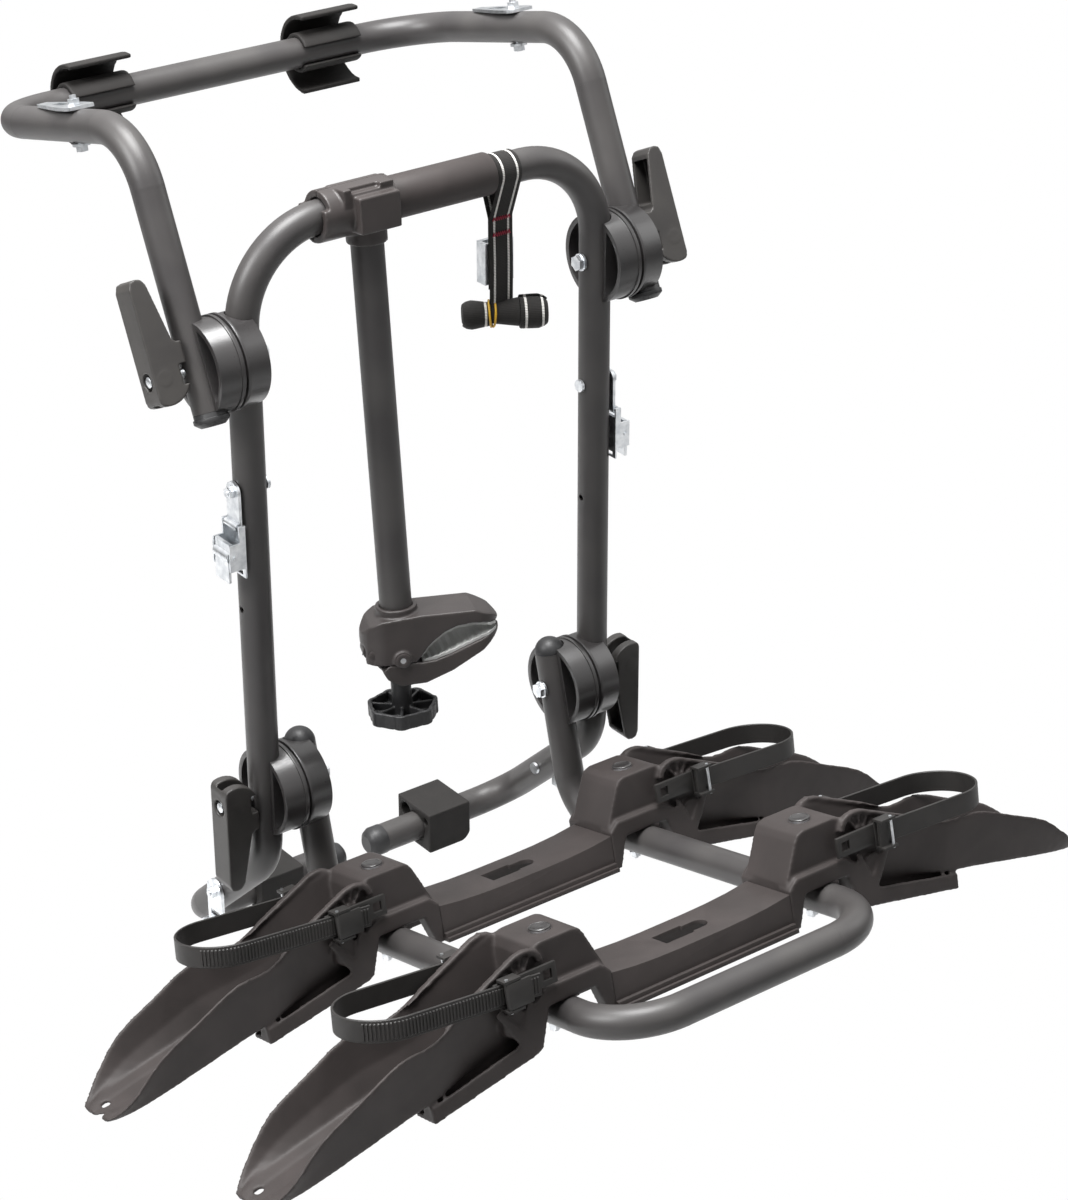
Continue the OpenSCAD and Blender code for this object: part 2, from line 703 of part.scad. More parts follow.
// Right half of a section, from the rim to the middle: outer side, then inner side
g_skin = 3.6;
function g_outer(r) = let (t = r[1], b = r[2], h = r[3] - r[4])
  [[t, r[3]], [b + 0.45 * (t - b), r[4] + 0.45 * h], [b, r[4]], [0.42 * b, r[4]], [0.34 * b, r[4]]];
function g_inner(r) = let (t = r[1], b = r[2], h = r[3] - r[4], e = min(g_skin, 0.8 * h))
  [[t - g_skin, r[3]], [b + 0.45 * (t - b) - g_skin, r[4] + max(0.45 * h, 0.9 * e)],
   [0.8 * b, r[4] + min(e + 2, 0.9 * h)], [0.42 * b, r[4] + e], [0.34 * b, r[4] + e - 1.2]];
function g_ring(r) = let (a = g_outer(r), b = g_inner(r)) concat(
  [for (p = a) [r[0], tray_c - p[0], p[1]]], [for (i = [4:-1:0]) [r[0], tray_c + a[i][0], a[i][1]]],
  [for (p = b) [r[0], tray_c + p[0], p[1]]], [for (i = [4:-1:0]) [r[0], tray_c - b[i][0], b[i][1]]]);

module gutter_shell() {
  last = len(g_tab) - 1;
  rows = concat([for (i = [0:last - 1]) for (t = [0, 1 / 3, 2 / 3])
    g_mid(g_tab[max(i - 1, 0)], g_tab[i], g_tab[i + 1], g_tab[min(i + 2, last)], t)], [g_tab[last]]);
  m = len(rows);
  k = 20;
  pts = [for (r = rows) for (p = g_ring(r)) p];
  walls = [for (i = [0:m - 2]) for (j = [0:k - 1]) let (a = i * k + j, b = i * k + (j + 1) % k, c = a + k, d = b + k)
    each [[a, c, b], [b, c, d]]];
  cap = [for (j = [0:8]) each [[j, j + 1, 18 - j], [j, 18 - j, 19 - j]]];
  tip = [for (f = cap) [for (j = [2, 1, 0]) f[j] + (m - 1) * k]];
  polyhedron(points = pts, faces = concat(walls, cap, tip), convexity = 8);
}

// Side flange with its arch over the tube, drawn in the plane of the tray's length and height
module flange_face() {
  polygon([[-46, -14], [-38, -14], [-28, 15.4], [22, 15.4], [34, -18], [40, -22], [152, -43], [153, -28], [48, -6], [38, 22],
    [20, 33], [-36, 33], [-46, 24]]);
}

module flange_shelf() {
  polygon([[34, -18], [40, -22], [152, -43], [152, -38], [40, -17]]);
}

module hump_face() {
  polygon([[-46, 15.4], [-44, 28], [-28, 63], [-24, 69], [-17, 72], [18, 72], [26, 70], [30, 60], [34, 15.4]]);
}

// Roof over the ribbed pocket: it leaves the hump and runs straight down to the rim of the wing
module roof_face() {
  polygon([[20, 58], [24, 67], [31, 71.5], [39, 73], [48, 71.5], [104, 46.5], [128, 33.5], [48, 66.5], [39, 68.5],
    [33, 67], [28, 62], [26, 56]]);
}

// Ribs of that pocket: turn and length from their common centre
pocket_ribs = [[-31.3, 26.3], [-5.7, 24.5], [22.9, 22.4], [52.1, 25]];

// Web that carries the wing on its side rail, and the gusset that ends the rail
module rail_web() {
  polygon([[37, -20], [37, 0], [62, -5], [102, -12], [143 * g, -19.5], [151, -21], [151, -40]]);
}

module gusset_face() {
  polygon([[-35, -42.8], [-35, -30], [-31, -23], [-18, -23], [-18, -40]]);
}

module v_strut() {
  polygon([[36, 30], [41, 32], [52, 4], [70, 30], [76, 26], [58, -6], [46, -6]]);
}

module extrude_v(v0, v1) {
  translate([0, v1, 0]) rotate([90, 0, 0]) linear_extrude(height = v1 - v0) children();
}

module gutter_body() {
  w = 35;
  difference() {
    union() {
      gutter_shell();
      extrude_v(-25, 33) hump_face();
      for (m = [0, 1]) translate([0, tray_c, 0]) mirror([0, m, 0]) {
        extrude_v(-w, -w + 4) flange_face();
        extrude_v(-w, -w + 16) difference() {
          flange_face();
          translate([42, -60]) square([150, 200]);
        }
        extrude_v(-w, -6) flange_shelf();
        extrude_v(-w, -w + 3.5) v_strut();
        extrude_v(-w, -w + 7) roof_face();
        translate([28, -w + 1.2, 46]) cube([40, 6, 4.5]);
        for (r = pocket_ribs) translate([46.3, -w + 1, 44.7]) rotate([0, r[0], 0])
          translate([-1.2, 0, 8]) cube([2.4, 4.8, r[1] - 8]);
        translate([57, 0, 12]) rod_y(-w + 3, -w + 11, 13);
        extrude_v(-21, -18) rail_web();
        translate([148, 0, 0]) rotate([90, 0, 90]) linear_extrude(height = 4) gusset_face();
      }
    }
    rod_y(-100, 100, tr + fit);
    translate([-tr - fit, -100, -40]) cube([2 * (tr + fit), 200, 40]);
    cylinder(h = 100, r = 3.1);
    translate([0, 0, 69.5]) cylinder(h = 10, r = 10);
    translate([298 * g, tray_c + 5, -80]) cube([7, 7, 60]);
    translate([319 * g, tray_c - 3, -50]) rotate([0, 0, 45]) cube([14, 14, 60], center = true);
  }
}

module gutter(s, y) { color([0.2, 0.19, 0.19]) tray_frame(s, y) gutter_body(); }
module rear_gutter_left() { gutter(-1, tray_rear); }
module rear_gutter_right() { gutter(1, tray_rear); }
module front_gutter_left() { gutter(-1, tray_front); }
module front_gutter_right() { gutter(1, tray_front); }

module tray_bolts() {
  color([0.7, 0.7, 0.7]) for (s = [-1, 1]) for (y = [tray_rear, tray_front]) tray_frame(s, y) {
    translate([0, 0, -tr - 8]) cylinder(h = 70.5 + tr + 8, r = 3);
    translate([0, 0, 69.6]) cylinder(h = 3.4, r = 9.6);
    translate([0, 0, -tr - 6]) cylinder(h = 5.6, r = 10 / sqrt(3), $fn = 6);
  }
}

// Wheel straps: toothed band from the loop on one side, out round the wheel, to the plate on the other

strap_v = 42.8;
strap_h = 20;
strap_t = 2.2;
strap_w = 45;
hinge_u = 69;
hinge_v = strap_v + 5.2;

// The toothed side faces the front on the left and the back on the right.
module toothed_side(s) {
  translate([0, tray_c, 0]) mirror([0, s < 0 ? 0 : 1, 0]) children();
}

module plain_side(s) {
  translate([0, tray_c, 0]) mirror([0, s < 0 ? 1 : 0, 0]) children();
}

module wheel_strap(s, lift) {
  re = strap_v;
  mid = strap_reach - re;
  toothed_side(s) translate([66, 0, strap_w]) rotate([0, -lift, 0]) translate([-66, 0, -strap_h / 2]) {
    linear_extrude(height = strap_h) {
      translate([32, -re]) square([mid - 32, strap_t]);
      translate([58, re - strap_t]) square([mid - 58, strap_t]);
      translate([mid, 0]) difference() {
        circle(r = re);
        circle(r = re - strap_t);
        translate([-100, -50]) square([100, 100]);
      }
    }
    for (i = [0:19]) translate([34 + i * 5, -re - 1.1, 1.5]) cube([2.4, 1.2, strap_h - 3]);
  }
}

module wheel_straps() {
  color([0.06, 0.06, 0.06]) for (s = [-1, 1]) for (y = [tray_rear, tray_front]) tray_frame(s, y)
    wheel_strap(s, s < 0 ? 5 : -3);
}

// Plates with a square window behind each strap end
module strap_plate() {
  difference() {
    translate([12, -strap_v + 4.4, 36]) cube([64, 3.3, 19]);
    translate([17, -strap_v, 41]) cube([9, 10, 9]);
  }
}

module strap_plates() {
  color([0.13, 0.13, 0.12]) for (s = [-1, 1]) for (y = [tray_rear, tray_front]) tray_frame(s, y) {
    toothed_side(s) strap_plate();
    plain_side(s) strap_plate();
  }
}

// Square loop that holds a strap end: back wall, two cheeks with the pin bore, and a front wall on the plain side
module strap_loop(front) {
  difference() {
    union() {
      translate([56, -strap_v + 2.6, 31]) cube([17, 1.7, 29]);
      for (z = [31, 57.6]) translate([56, -strap_v - 8, z]) cube([17, 12.3, 2.4]);
      if (front) translate([56, -strap_v - 3.2, 31]) cube([10, 2.4, 29]);
    }
    translate([hinge_u, -hinge_v, 20]) cylinder(h = 60, r = 1.5 + fit);
  }
}

module strap_loops() {
  color([0.12, 0.12, 0.12]) for (s = [-1, 1]) for (y = [tray_rear, tray_front]) tray_frame(s, y) {
    toothed_side(s) strap_loop(false);
    plain_side(s) strap_loop(true);
  }
}

module strap_pins() {
  color([0.75, 0.76, 0.77]) for (s = [-1, 1]) for (y = [tray_rear, tray_front]) tray_frame(s, y)
    for (m = [0, 1]) translate([0, tray_c, 0]) mirror([0, m, 0])
      translate([hinge_u, -hinge_v, 30]) cylinder(h = 31, r = 1.5);
}

// Latch: a small lever on the toothed side that turns on the loop's pin
module latch(s, y) {
  color([0.14, 0.14, 0.13]) tray_frame(s, y) toothed_side(s) difference() {
    union() {
      translate([hinge_u, -hinge_v, 34]) cylinder(h = 23, r = 3);
      translate([46, -hinge_v - 3, 34]) cube([hinge_u - 46, 2.6, 23]);
    }
    translate([hinge_u, -hinge_v, 20]) cylinder(h = 60, r = 1.5 + fit);
  }
}
module latch_rear_left() { latch(-1, tray_rear); }
module latch_rear_right() { latch(1, tray_rear); }
module latch_front_left() { latch(-1, tray_front); }
module latch_front_right() { latch(1, tray_front); }

// Frame clamp: block on the top bar, arm, and a head with two jaws

module block_shape() {
  difference() {
    union() {
      rod_x(-54, 24, 23);
      translate([-34, -22, 6]) cube([52, 28, 17.5]);
      translate([-24, -31, -17]) cube([42, 34, 33]);
      translate([0, 0, -33]) cylinder(h = 24, r = 18.5);
    }
    rod_x(-70, 40, tr + slip);
    rod_x(-70, -42, tr + 1.4);
    translate([0, 0, -60]) cylinder(h = 40, r = tr + fit);
    translate([-26, -26, 19]) cube([30, 10, 10]);
    translate([-60, -40, 9]) cube([12, 80, 40]);
  }
}

module clamp_block() {
  color([0.16, 0.16, 0.16]) arm_frame() difference() {
    block_shape();
    translate([-100, 0, -19.5]) cube([200, 60, 100]);
  }
}

module clamp_block_cap() {
  color([0.14, 0.14, 0.14]) arm_frame() difference() {
    block_shape();
    translate([-100, -100, -100]) cube([200, 100.2, 200]);
    translate([-100, -100, -100]) cube([200, 200, 80.8]);
  }
}

module clamp_arm_tube() {
  color([0.25, 0.25, 0.27]) arm_frame() translate([0, 0, -arm_len - 20]) difference() {
    cylinder(h = arm_len - 1, r = tr);
    translate([0, 0, -1]) cylinder(h = arm_len + 2, r = ti);
  }
}

// Head sizes: hinge of the lower jaw, swing pin, half width
jaw_hx = -27;
jaw_hz = -29;
pin_x = -1;
pin_z = -35;
jaw_w = 23;
eye_up = [[18, -36.5], [24, -29], [31, -23], [40, -17], [52, -12.5], [66, -11.5], [78, -13], [90, -16]];
eye_low = [[18, -38], [30, -37.5], [45, -33.5], [60, -28], [75, -22.8], [90, -17.6]];
liner_t = 3;

function raised(c, d) = [for (p = c) [p[0], p[1] + d]];
function flip(c) = [for (i = [len(c) - 1:-1:0]) c[i]];
function ribs(c, d) = [for (i = [0:len(c) - 2]) for (f = [0:0.25:0.75])
  c[i] * (1 - f) + c[i + 1] * f + [0, f == 0.25 || f == 0.75 ? d : 0]];

module jaw_plan(h0, h1) {
  translate([0, 0, h0]) linear_extrude(height = h1 - h0) {
    translate([71, 0]) circle(r = jaw_w);
    translate([-13, 0]) circle(r = jaw_w);
    translate([-13, -jaw_w]) square([84, 2 * jaw_w]);
  }
}

module across(half) {
  rotate([90, 0, 0]) linear_extrude(height = 2 * half, center = true) children();
}

module upper_jaw() {
  color([0.15, 0.15, 0.15]) head_frame() difference() {
    union() {
      intersection() {
        jaw_plan(-60, 30);
        across(40) polygon(concat(
          [[-37, -22], [-35, -10], [-28, -1], [-18, 4], [20, 6], [70, 4], [87, -4], [95, -12], [95, -16 + liner_t]],
          flip(raised(eye_up, liner_t)), [[12, -40], [-37, -40]]));
      }
      translate([0, 0, -2]) cylinder(h = 14, r = 19.5);
      translate([pin_x, 0, pin_z]) difference() {
        rod_y(-25.2, 25.2, 8.5);
        rod_y(-jaw_w - 0.5, jaw_w + 0.5, 9);
      }
      translate([pin_x, 0, pin_z]) intersection() {
        rod_y(-25, 25, 8.5);
        translate([-20, -40, -4.8]) cube([40, 80, 40]);
      }
    }
    translate([0, 0, -22]) cylinder(h = 60, r = tr + 0.08);
    translate([pin_x - 11, -6, -60]) cube([22, 12, 35]);
    translate([pin_x, 0, pin_z]) rod_y(-40, 40, 4 + fit);
    translate([jaw_hx, 0, jaw_hz]) rod_y(-18, 18, 3 + fit);
    translate([jaw_hx, 0, jaw_hz]) rod_y(-9.4, 9.4, 9);
    translate([jaw_hx - 12, -9.4, -60]) cube([50, 18.8, 31]);
    translate([jaw_hx - 12, -9.4, -60]) cube([12, 18.8, 37]);
  }
}

module lower_jaw() {
  color([0.15, 0.15, 0.15]) head_frame() difference() {
    union() {
      intersection() {
        jaw_plan(-80, 0);
        across(40) polygon(concat(
          [[-14, -40.4], [12, -40.4]], raised(eye_low, -liner_t),
          [[95, -18.4], [95, -22], [76, -37], [46, -53], [20, -62], [-4, -62], [-16, -54], [-20, -46]]));
      }
      translate([jaw_hx, 0, jaw_hz]) rod_y(-9, 9, 8.4);
      across(9) polygon([[jaw_hx - 6, jaw_hz - 4], [jaw_hx + 5, jaw_hz - 3], [-11, -41], [-6, -41], [-6, -56], [-16, -53]]);
    }
    translate([jaw_hx, 0, jaw_hz]) rod_y(-40, 40, 3 + fit);
    translate([pin_x - 5.5, -5.5, -80]) cube([22, 11, 60]);
  }
}

module upper_liner() {
  color([0.6, 0.6, 0.6]) head_frame() intersection() {
    jaw_plan(-80, 0);
    across(20) polygon(concat(flip(raised(eye_up, liner_t - 0.1)), ribs(eye_up, 0.8), [eye_up[len(eye_up) - 1]]));
  }
}

module lower_liner() {
  color([0.6, 0.6, 0.6]) head_frame() intersection() {
    jaw_plan(-80, 0);
    across(20) polygon(concat(flip(raised(eye_low, -liner_t + 0.1)), ribs(eye_low, -0.8), [eye_low[len(eye_low) - 1]]));
  }
}

module swing_bolt() {
  color([0.72, 0.73, 0.74]) head_frame() translate([pin_x, 0, pin_z]) difference() {
    union() {
      rod_y(-5.3, 5.3, 7.5);
      translate([0, 0, -66]) cylinder(h = 62, r = 4);
    }
    rod_y(-10, 10, 4 + fit);
  }
}

module clamp_pins() {
  color([0.75, 0.76, 0.77]) head_frame() {
    translate([pin_x, 0, pin_z]) rod_y(-26, 26, 4);
    translate([jaw_hx, 0, jaw_hz]) rod_y(-17.8, 17.8, 3);
  }
}

// Washer that rides on the knob's neck and bears on the lower jaw
module knob_washer() {
  color([0.75, 0.76, 0.77]) head_frame() translate([pin_x, 0, -64]) difference() {
    cylinder(h = 1.7, r = 10);
    translate([0, 0, -1]) cylinder(h = 4, r = 4 + slip);
  }
}

// Knob: neck, lobed rim and ribs under an open top
module clamp_knob() {
  top = -88;
  rim_h = 14.5;
  floor_t = 4;
  color([0.1, 0.1, 0.1]) head_frame() translate([pin_x, 0, top - rim_h]) difference() {
    union() {
      cylinder(h = rim_h - top - 64.3, r = 9.5);
      difference() {
        linear_extrude(height = rim_h) knob_outline(0);
        translate([0, 0, floor_t]) linear_extrude(height = rim_h) knob_outline(3);
      }
      for (i = [0:6]) rotate(i * 360 / 7) translate([6, -1.2, 1]) cube([26, 2.4, rim_h - 3]);
    }
    translate([0, 0, -1]) cylinder(h = 60, r = 4 + slip);
  }
}

module knob_outline(inset) {
  circle(r = 31 - inset);
  for (i = [0:6]) rotate(i * 360 / 7) translate([24, 0]) circle(r = 9.5 - inset);
}

main_frame_tube();
foot_tubes();
bumper_bar_caps();
bumper_pads();
top_bar_sleeve();
upper_inner_discs();
lower_outer_discs();
friction_rings();
joint_bolts();
lower_lever_barrels();
frame_bolts();
leg_buckle_tabs();
leg_buckle_frames();
leg_buckle_lever_left();
leg_buckle_lever_right();
lower_anchors();
retaining_strap();
strap_buckle();
rubber_band();
hoop_tube();
hoop_end_plugs();
tailgate_pad_left();
tailgate_pad_right();
hoop_anchors();
hoop_anchor_bolts();
upper_outer_discs();
upper_lever_barrels();
upper_lever_left();
upper_lever_right();
lower_lever_left();
lower_lever_right();
fork_tube();
fork_end_caps();
lower_inner_discs();
rear_tray_beam();
front_tray_beam();
rear_gutter_left();
rear_gutter_right();
front_gutter_left();
front_gutter_right();
wheel_straps();
strap_plates();
strap_loops();
strap_pins();
latch_rear_left();
latch_rear_right();
latch_front_left();
latch_front_right();
tray_bolts();
clamp_block();
clamp_block_cap();
clamp_arm_tube();
upper_jaw();
lower_jaw();
upper_liner();
lower_liner();
swing_bolt();
clamp_pins();
knob_washer();
clamp_knob();
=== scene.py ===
# %% [markdown]
# # Trunk mounted bike rack
# The rack is a bent tube frame that leans on a car's tailgate. A hoop reaches over the lid, a fork
# carries two wheel trays, and an arm with a clamp hangs from the top bar. The solid model gives
# every place and size, so the first step is to load it.

# %% load the solid model
import json
import math
import bmesh
import bpy
from mathutils import Matrix, Vector


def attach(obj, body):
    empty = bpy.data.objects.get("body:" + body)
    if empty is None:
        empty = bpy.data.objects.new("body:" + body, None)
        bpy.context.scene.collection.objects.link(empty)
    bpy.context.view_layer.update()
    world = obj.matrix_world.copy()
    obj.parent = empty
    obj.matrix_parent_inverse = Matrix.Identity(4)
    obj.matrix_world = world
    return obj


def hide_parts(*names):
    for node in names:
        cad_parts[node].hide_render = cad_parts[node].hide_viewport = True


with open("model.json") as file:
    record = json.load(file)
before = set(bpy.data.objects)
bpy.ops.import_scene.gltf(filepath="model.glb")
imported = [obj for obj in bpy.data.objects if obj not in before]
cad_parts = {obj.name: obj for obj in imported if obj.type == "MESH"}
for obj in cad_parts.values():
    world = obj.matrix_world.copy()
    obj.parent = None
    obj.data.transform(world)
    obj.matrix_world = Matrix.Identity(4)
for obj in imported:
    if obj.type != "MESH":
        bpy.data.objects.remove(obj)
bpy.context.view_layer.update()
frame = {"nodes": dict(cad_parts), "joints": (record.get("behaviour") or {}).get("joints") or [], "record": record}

NODES = frame["nodes"]
BODY_OF = {n: b for b, ns in frame["record"]["behaviour"]["bodies"].items() for n in ns}
SLOT_OF = {p["node"]: p["material_slot"] for p in frame["record"]["subparts"]}
JOINT_OF = {j["child"]: j for j in frame["joints"]}

# %% [markdown]
# The camera stands to the left of the rack, a little above it, with a long lens, as a product
# photographer would stand to keep the tubes from spreading. A wide lens from nearer by would show
# the same pieces, but the front tray would swell and the hoop would shrink.

# %% camera
EYE = Vector((-1.4804, -2.3126, 1.7002))
AIM = Vector((0.11417, -0.18946, 0.31848))
ROLL = math.radians(-0.13)
SENSOR_MM = 36.0
LENS_MM = 92.96

camera_data = bpy.data.cameras.new("camera")
camera_data.sensor_fit = "VERTICAL"
camera_data.sensor_height = SENSOR_MM
camera_data.lens = LENS_MM
camera = bpy.data.objects.new("camera", camera_data)
bpy.context.scene.collection.objects.link(camera)
camera.location = EYE
look = (AIM - EYE).to_track_quat("-Z", "Y").to_matrix()
camera.rotation_euler = (look @ Matrix.Rotation(ROLL, 3, "Z")).to_euler()
bpy.context.scene.camera = camera
bpy.context.scene.view_settings.view_transform = "Standard"
print("camera distance", round((AIM - EYE).length, 3))

# %% [markdown]
# Finishes come next. A colour is written as the sRGB hex value that a colour picker shows, and one
# function turns it to the linear numbers that the shader wants. A second function adds a node, sets
# it up and links it, so each finish below reads as a short list of steps. Two more turn a size in
# millimetres to a pattern's scale.

# %% colour and node helpers
def linear(code):
    """An sRGB hex colour as linear red, green, blue and alpha."""
    parts = [int(code[i:i + 2], 16) / 255 for i in (1, 3, 5)]
    return [p / 12.92 if p <= 0.04045 else ((p + 0.055) / 1.055) ** 2.4 for p in parts] + [1.0]


def put(tree, kind, inputs=None, **settings):
    """Adds one node, with its settings, values and links."""
    item = tree.nodes.new(kind)
    for name, value in settings.items():
        setattr(item, name, value)
    for name, value in (inputs or {}).items():
        if isinstance(value, bpy.types.NodeSocket):
            tree.links.new(value, item.inputs[name])
        else:
            item.inputs[name].default_value = value
    return item


def per_mm(size):
    """Pattern scale, in repeats per metre, of a feature that is so many millimetres wide."""
    return 1000.0 / size


def wave_mm(size):
    """Wave texture scale for bands that are so many millimetres apart."""
    return math.pi / 10 * 1000 / size


def fresh(name):
    """An empty material with its tree, object coordinates and output."""
    material = bpy.data.materials.new(name)
    material.use_nodes = True
    tree = material.node_tree
    tree.nodes.clear()
    out = put(tree, "ShaderNodeOutputMaterial")
    where = put(tree, "ShaderNodeTexCoord").outputs["Object"]
    return material, tree, where, out

# %% [markdown]
# The tubes are steel with a charcoal powder coat. The powder melts into a satin skin with a faint
# orange peel, so the coat has a soft bump of about 2 mm and a roughness that wanders a little.
# A plain grey would do from afar, but the peel breaks up the highlight along each tube.

# %% powder coat
def powder_coat():
    """Charcoal powder coat: two close greys in clouds, under a fine orange peel."""
    material, tree, where, out = fresh("charcoal_powder_coat")
    peel = put(tree, "ShaderNodeTexNoise", {"Vector": where, "Scale": per_mm(2.2), "Detail": 3.0})
    cloud = put(tree, "ShaderNodeTexNoise", {"Vector": where, "Scale": per_mm(60), "Detail": 2.0})
    tone = put(tree, "ShaderNodeValToRGB", {"Fac": cloud.outputs["Fac"]})
    tone.color_ramp.elements[0].position = 0.35
    tone.color_ramp.elements[0].color = linear("#363434")
    tone.color_ramp.elements[1].position = 0.7
    tone.color_ramp.elements[1].color = linear("#413f3e")
    gloss = put(tree, "ShaderNodeMapRange", {"Value": cloud.outputs["Fac"], "To Min": 0.36, "To Max": 0.46})
    bump = put(tree, "ShaderNodeBump", {
        "Height": peel.outputs["Fac"], "Strength": 0.25, "Distance": 0.0002})
    skin = put(tree, "ShaderNodeBsdfPrincipled", {
        "Base Color": tone.outputs["Color"], "Roughness": gloss.outputs["Result"],
        "Normal": bump.outputs["Normal"], "Specular IOR Level": 0.4})
    tree.links.new(skin.outputs["BSDF"], out.inputs["Surface"])
    return material

# %% [markdown]
# Most other parts are moulded: ABS for the discs, nylon for the levers and trays, polyethylene for
# the caps, polyurethane for the straps, rubber for pads and liners. A mould leaves a fine spark
# grain, drawn here about 1.5 mm coarse so that it shows, over a slow change of tone where the melt
# flowed. One function makes them all, because only colour, roughness and shine differ.

# %% moulded plastics and rubbers
def moulded(name, dark, light, rough, grain=1.5, shine=0.4):
    """A moulded skin: two close tones in slow swirls, under a spark grain of so many millimetres."""
    material, tree, where, out = fresh(name)
    spark = put(tree, "ShaderNodeTexNoise", {
        "Vector": where, "Scale": per_mm(grain), "Detail": 4.0, "Roughness": 0.6})
    melt = put(tree, "ShaderNodeTexNoise", {
        "Vector": where, "Scale": per_mm(45), "Detail": 3.0, "Distortion": 0.6})
    tone = put(tree, "ShaderNodeValToRGB", {"Fac": melt.outputs["Fac"]})
    tone.color_ramp.elements[0].position = 0.3
    tone.color_ramp.elements[0].color = linear(dark)
    tone.color_ramp.elements[1].position = 0.72
    tone.color_ramp.elements[1].color = linear(light)
    gloss = put(tree, "ShaderNodeMapRange", {
        "Value": spark.outputs["Fac"], "To Min": rough - 0.07, "To Max": rough + 0.07})
    bump = put(tree, "ShaderNodeBump", {
        "Height": spark.outputs["Fac"], "Strength": 0.35, "Distance": 0.00012})
    skin = put(tree, "ShaderNodeBsdfPrincipled", {
        "Base Color": tone.outputs["Color"], "Roughness": gloss.outputs["Result"],
        "Normal": bump.outputs["Normal"], "Specular IOR Level": shine})
    tree.links.new(skin.outputs["BSDF"], out.inputs["Surface"])
    return material

# %% [markdown]
# Bolts, pins, anchor plates and buckles are steel with bright zinc plate. The bath leaves fine
# drawn lines and a slightly cloudy grey, so the metal has streaks and a soft blur.

# %% zinc plate
def zinc_plate():
    """Bright zinc: a metal in cloudy light greys, with fine lines drawn out along one axis."""
    material, tree, where, out = fresh("bright_zinc_plate")
    drawn = put(tree, "ShaderNodeMapping", {"Vector": where, "Scale": (1.0, 0.25, 1.0)})
    lines = put(tree, "ShaderNodeTexNoise", {
        "Vector": drawn.outputs["Vector"], "Scale": per_mm(1.2), "Detail": 3.0})
    cloud = put(tree, "ShaderNodeTexNoise", {"Vector": where, "Scale": per_mm(8), "Detail": 4.0})
    tone = put(tree, "ShaderNodeValToRGB", {"Fac": cloud.outputs["Fac"]})
    tone.color_ramp.elements[0].position = 0.3
    tone.color_ramp.elements[0].color = linear("#c2c6ca")
    tone.color_ramp.elements[1].position = 0.7
    tone.color_ramp.elements[1].color = linear("#eceef0")
    gloss = put(tree, "ShaderNodeMapRange", {"Value": lines.outputs["Fac"], "To Min": 0.22, "To Max": 0.42})
    bump = put(tree, "ShaderNodeBump", {
        "Height": lines.outputs["Fac"], "Strength": 0.2, "Distance": 0.0001})
    skin = put(tree, "ShaderNodeBsdfPrincipled", {
        "Base Color": tone.outputs["Color"], "Metallic": 1.0, "Roughness": gloss.outputs["Result"],
        "Normal": bump.outputs["Normal"]})
    tree.links.new(skin.outputs["BSDF"], out.inputs["Surface"])
    return material

# %% [markdown]
# The record names a material slot for each node, so one table from slot to finish dresses the whole
# rack. The clamp's knob is the one exception: it is darker than the levers, whose slot it shares.

# %% give every node its finish
FINISH = {
    "tube_paint": powder_coat(),
    "joint_plastic": moulded("black_abs", "#282727", "#312f2f", 0.30, shine=0.55),
    "cap_plastic": moulded("black_polyethylene", "#1f1f20", "#2a2a2b", 0.45),
    "lever_plastic": moulded("black_nylon", "#312f2e", "#3b3937", 0.44),
    "tray_plastic": moulded("dark_grey_nylon", "#2f2b2a", "#383332", 0.56, shine=0.25),
    "strap_plastic": moulded("black_polyurethane", "#232221", "#2e2c2b", 0.50, shine=0.3),
    "clamp_plastic": moulded("black_glass_filled_nylon", "#312d2c", "#3a3534", 0.42),
    "pad_rubber": moulded("black_moulded_rubber", "#1c1b1a", "#252322", 0.66, shine=0.22),
    "liner_rubber": moulded("light_grey_rubber", "#a9aaa8", "#bcbdbb", 0.6),
    "zinc_steel": zinc_plate(),
    "webbing": moulded("black_webbing", "#151515", "#1d1d1d", 0.75),
    "band_rubber": moulded("yellow_rubber", "#b18a1f", "#c79c2a", 0.45),
}
FINISH_OF = {n: FINISH[SLOT_OF[n]] for n in NODES}
FINISH_OF["clamp_knob"] = FINISH["cap_plastic"]
for name, item in NODES.items():
    item.data.materials.clear()
    item.data.materials.append(FINISH_OF[name])
print("finishes", len(FINISH))

# %% [markdown]
# Every operator acts on what is selected, so a few helpers come before the pieces: one selects a
# single object, one joins objects, one puts a finish on a piece, and one says that a piece stands
# for a node and rides on that node's body.

# %% piece helpers
def alone(item):
    """Makes one object the only selected and the active one."""
    bpy.ops.object.select_all(action="DESELECT")
    item.select_set(True)
    bpy.context.view_layer.objects.active = item


def joined(name, items):
    """Joins mesh objects into one piece."""
    alone(items[0])
    for item in items:
        item.select_set(True)
    bpy.ops.object.join()
    items[0].name = name
    return items[0]


def dressed(piece, finish):
    """Gives a piece one finish in place of any other."""
    piece.data.materials.clear()
    piece.data.materials.append(finish)


def standing_for(piece, node):
    """Puts a piece in the place of a solid node, on the node's body."""
    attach(piece, BODY_OF[node])
    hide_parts(node)
    return piece


def added(piece, node, slot):
    """Adds a small piece that the solids lack to the body of a node."""
    dressed(piece, FINISH[slot])
    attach(piece, BODY_OF[node])

# %% [markdown]
# Plugs, covers, rings and bolt ends are round, so they are turned as on a lathe: half an outline is
# spun round an axis. A cylinder could be cut to each shape as well, but an outline is easier to read.

# %% lathe
LATHE_STEPS = 48
LATHE_CREASE = math.radians(35)


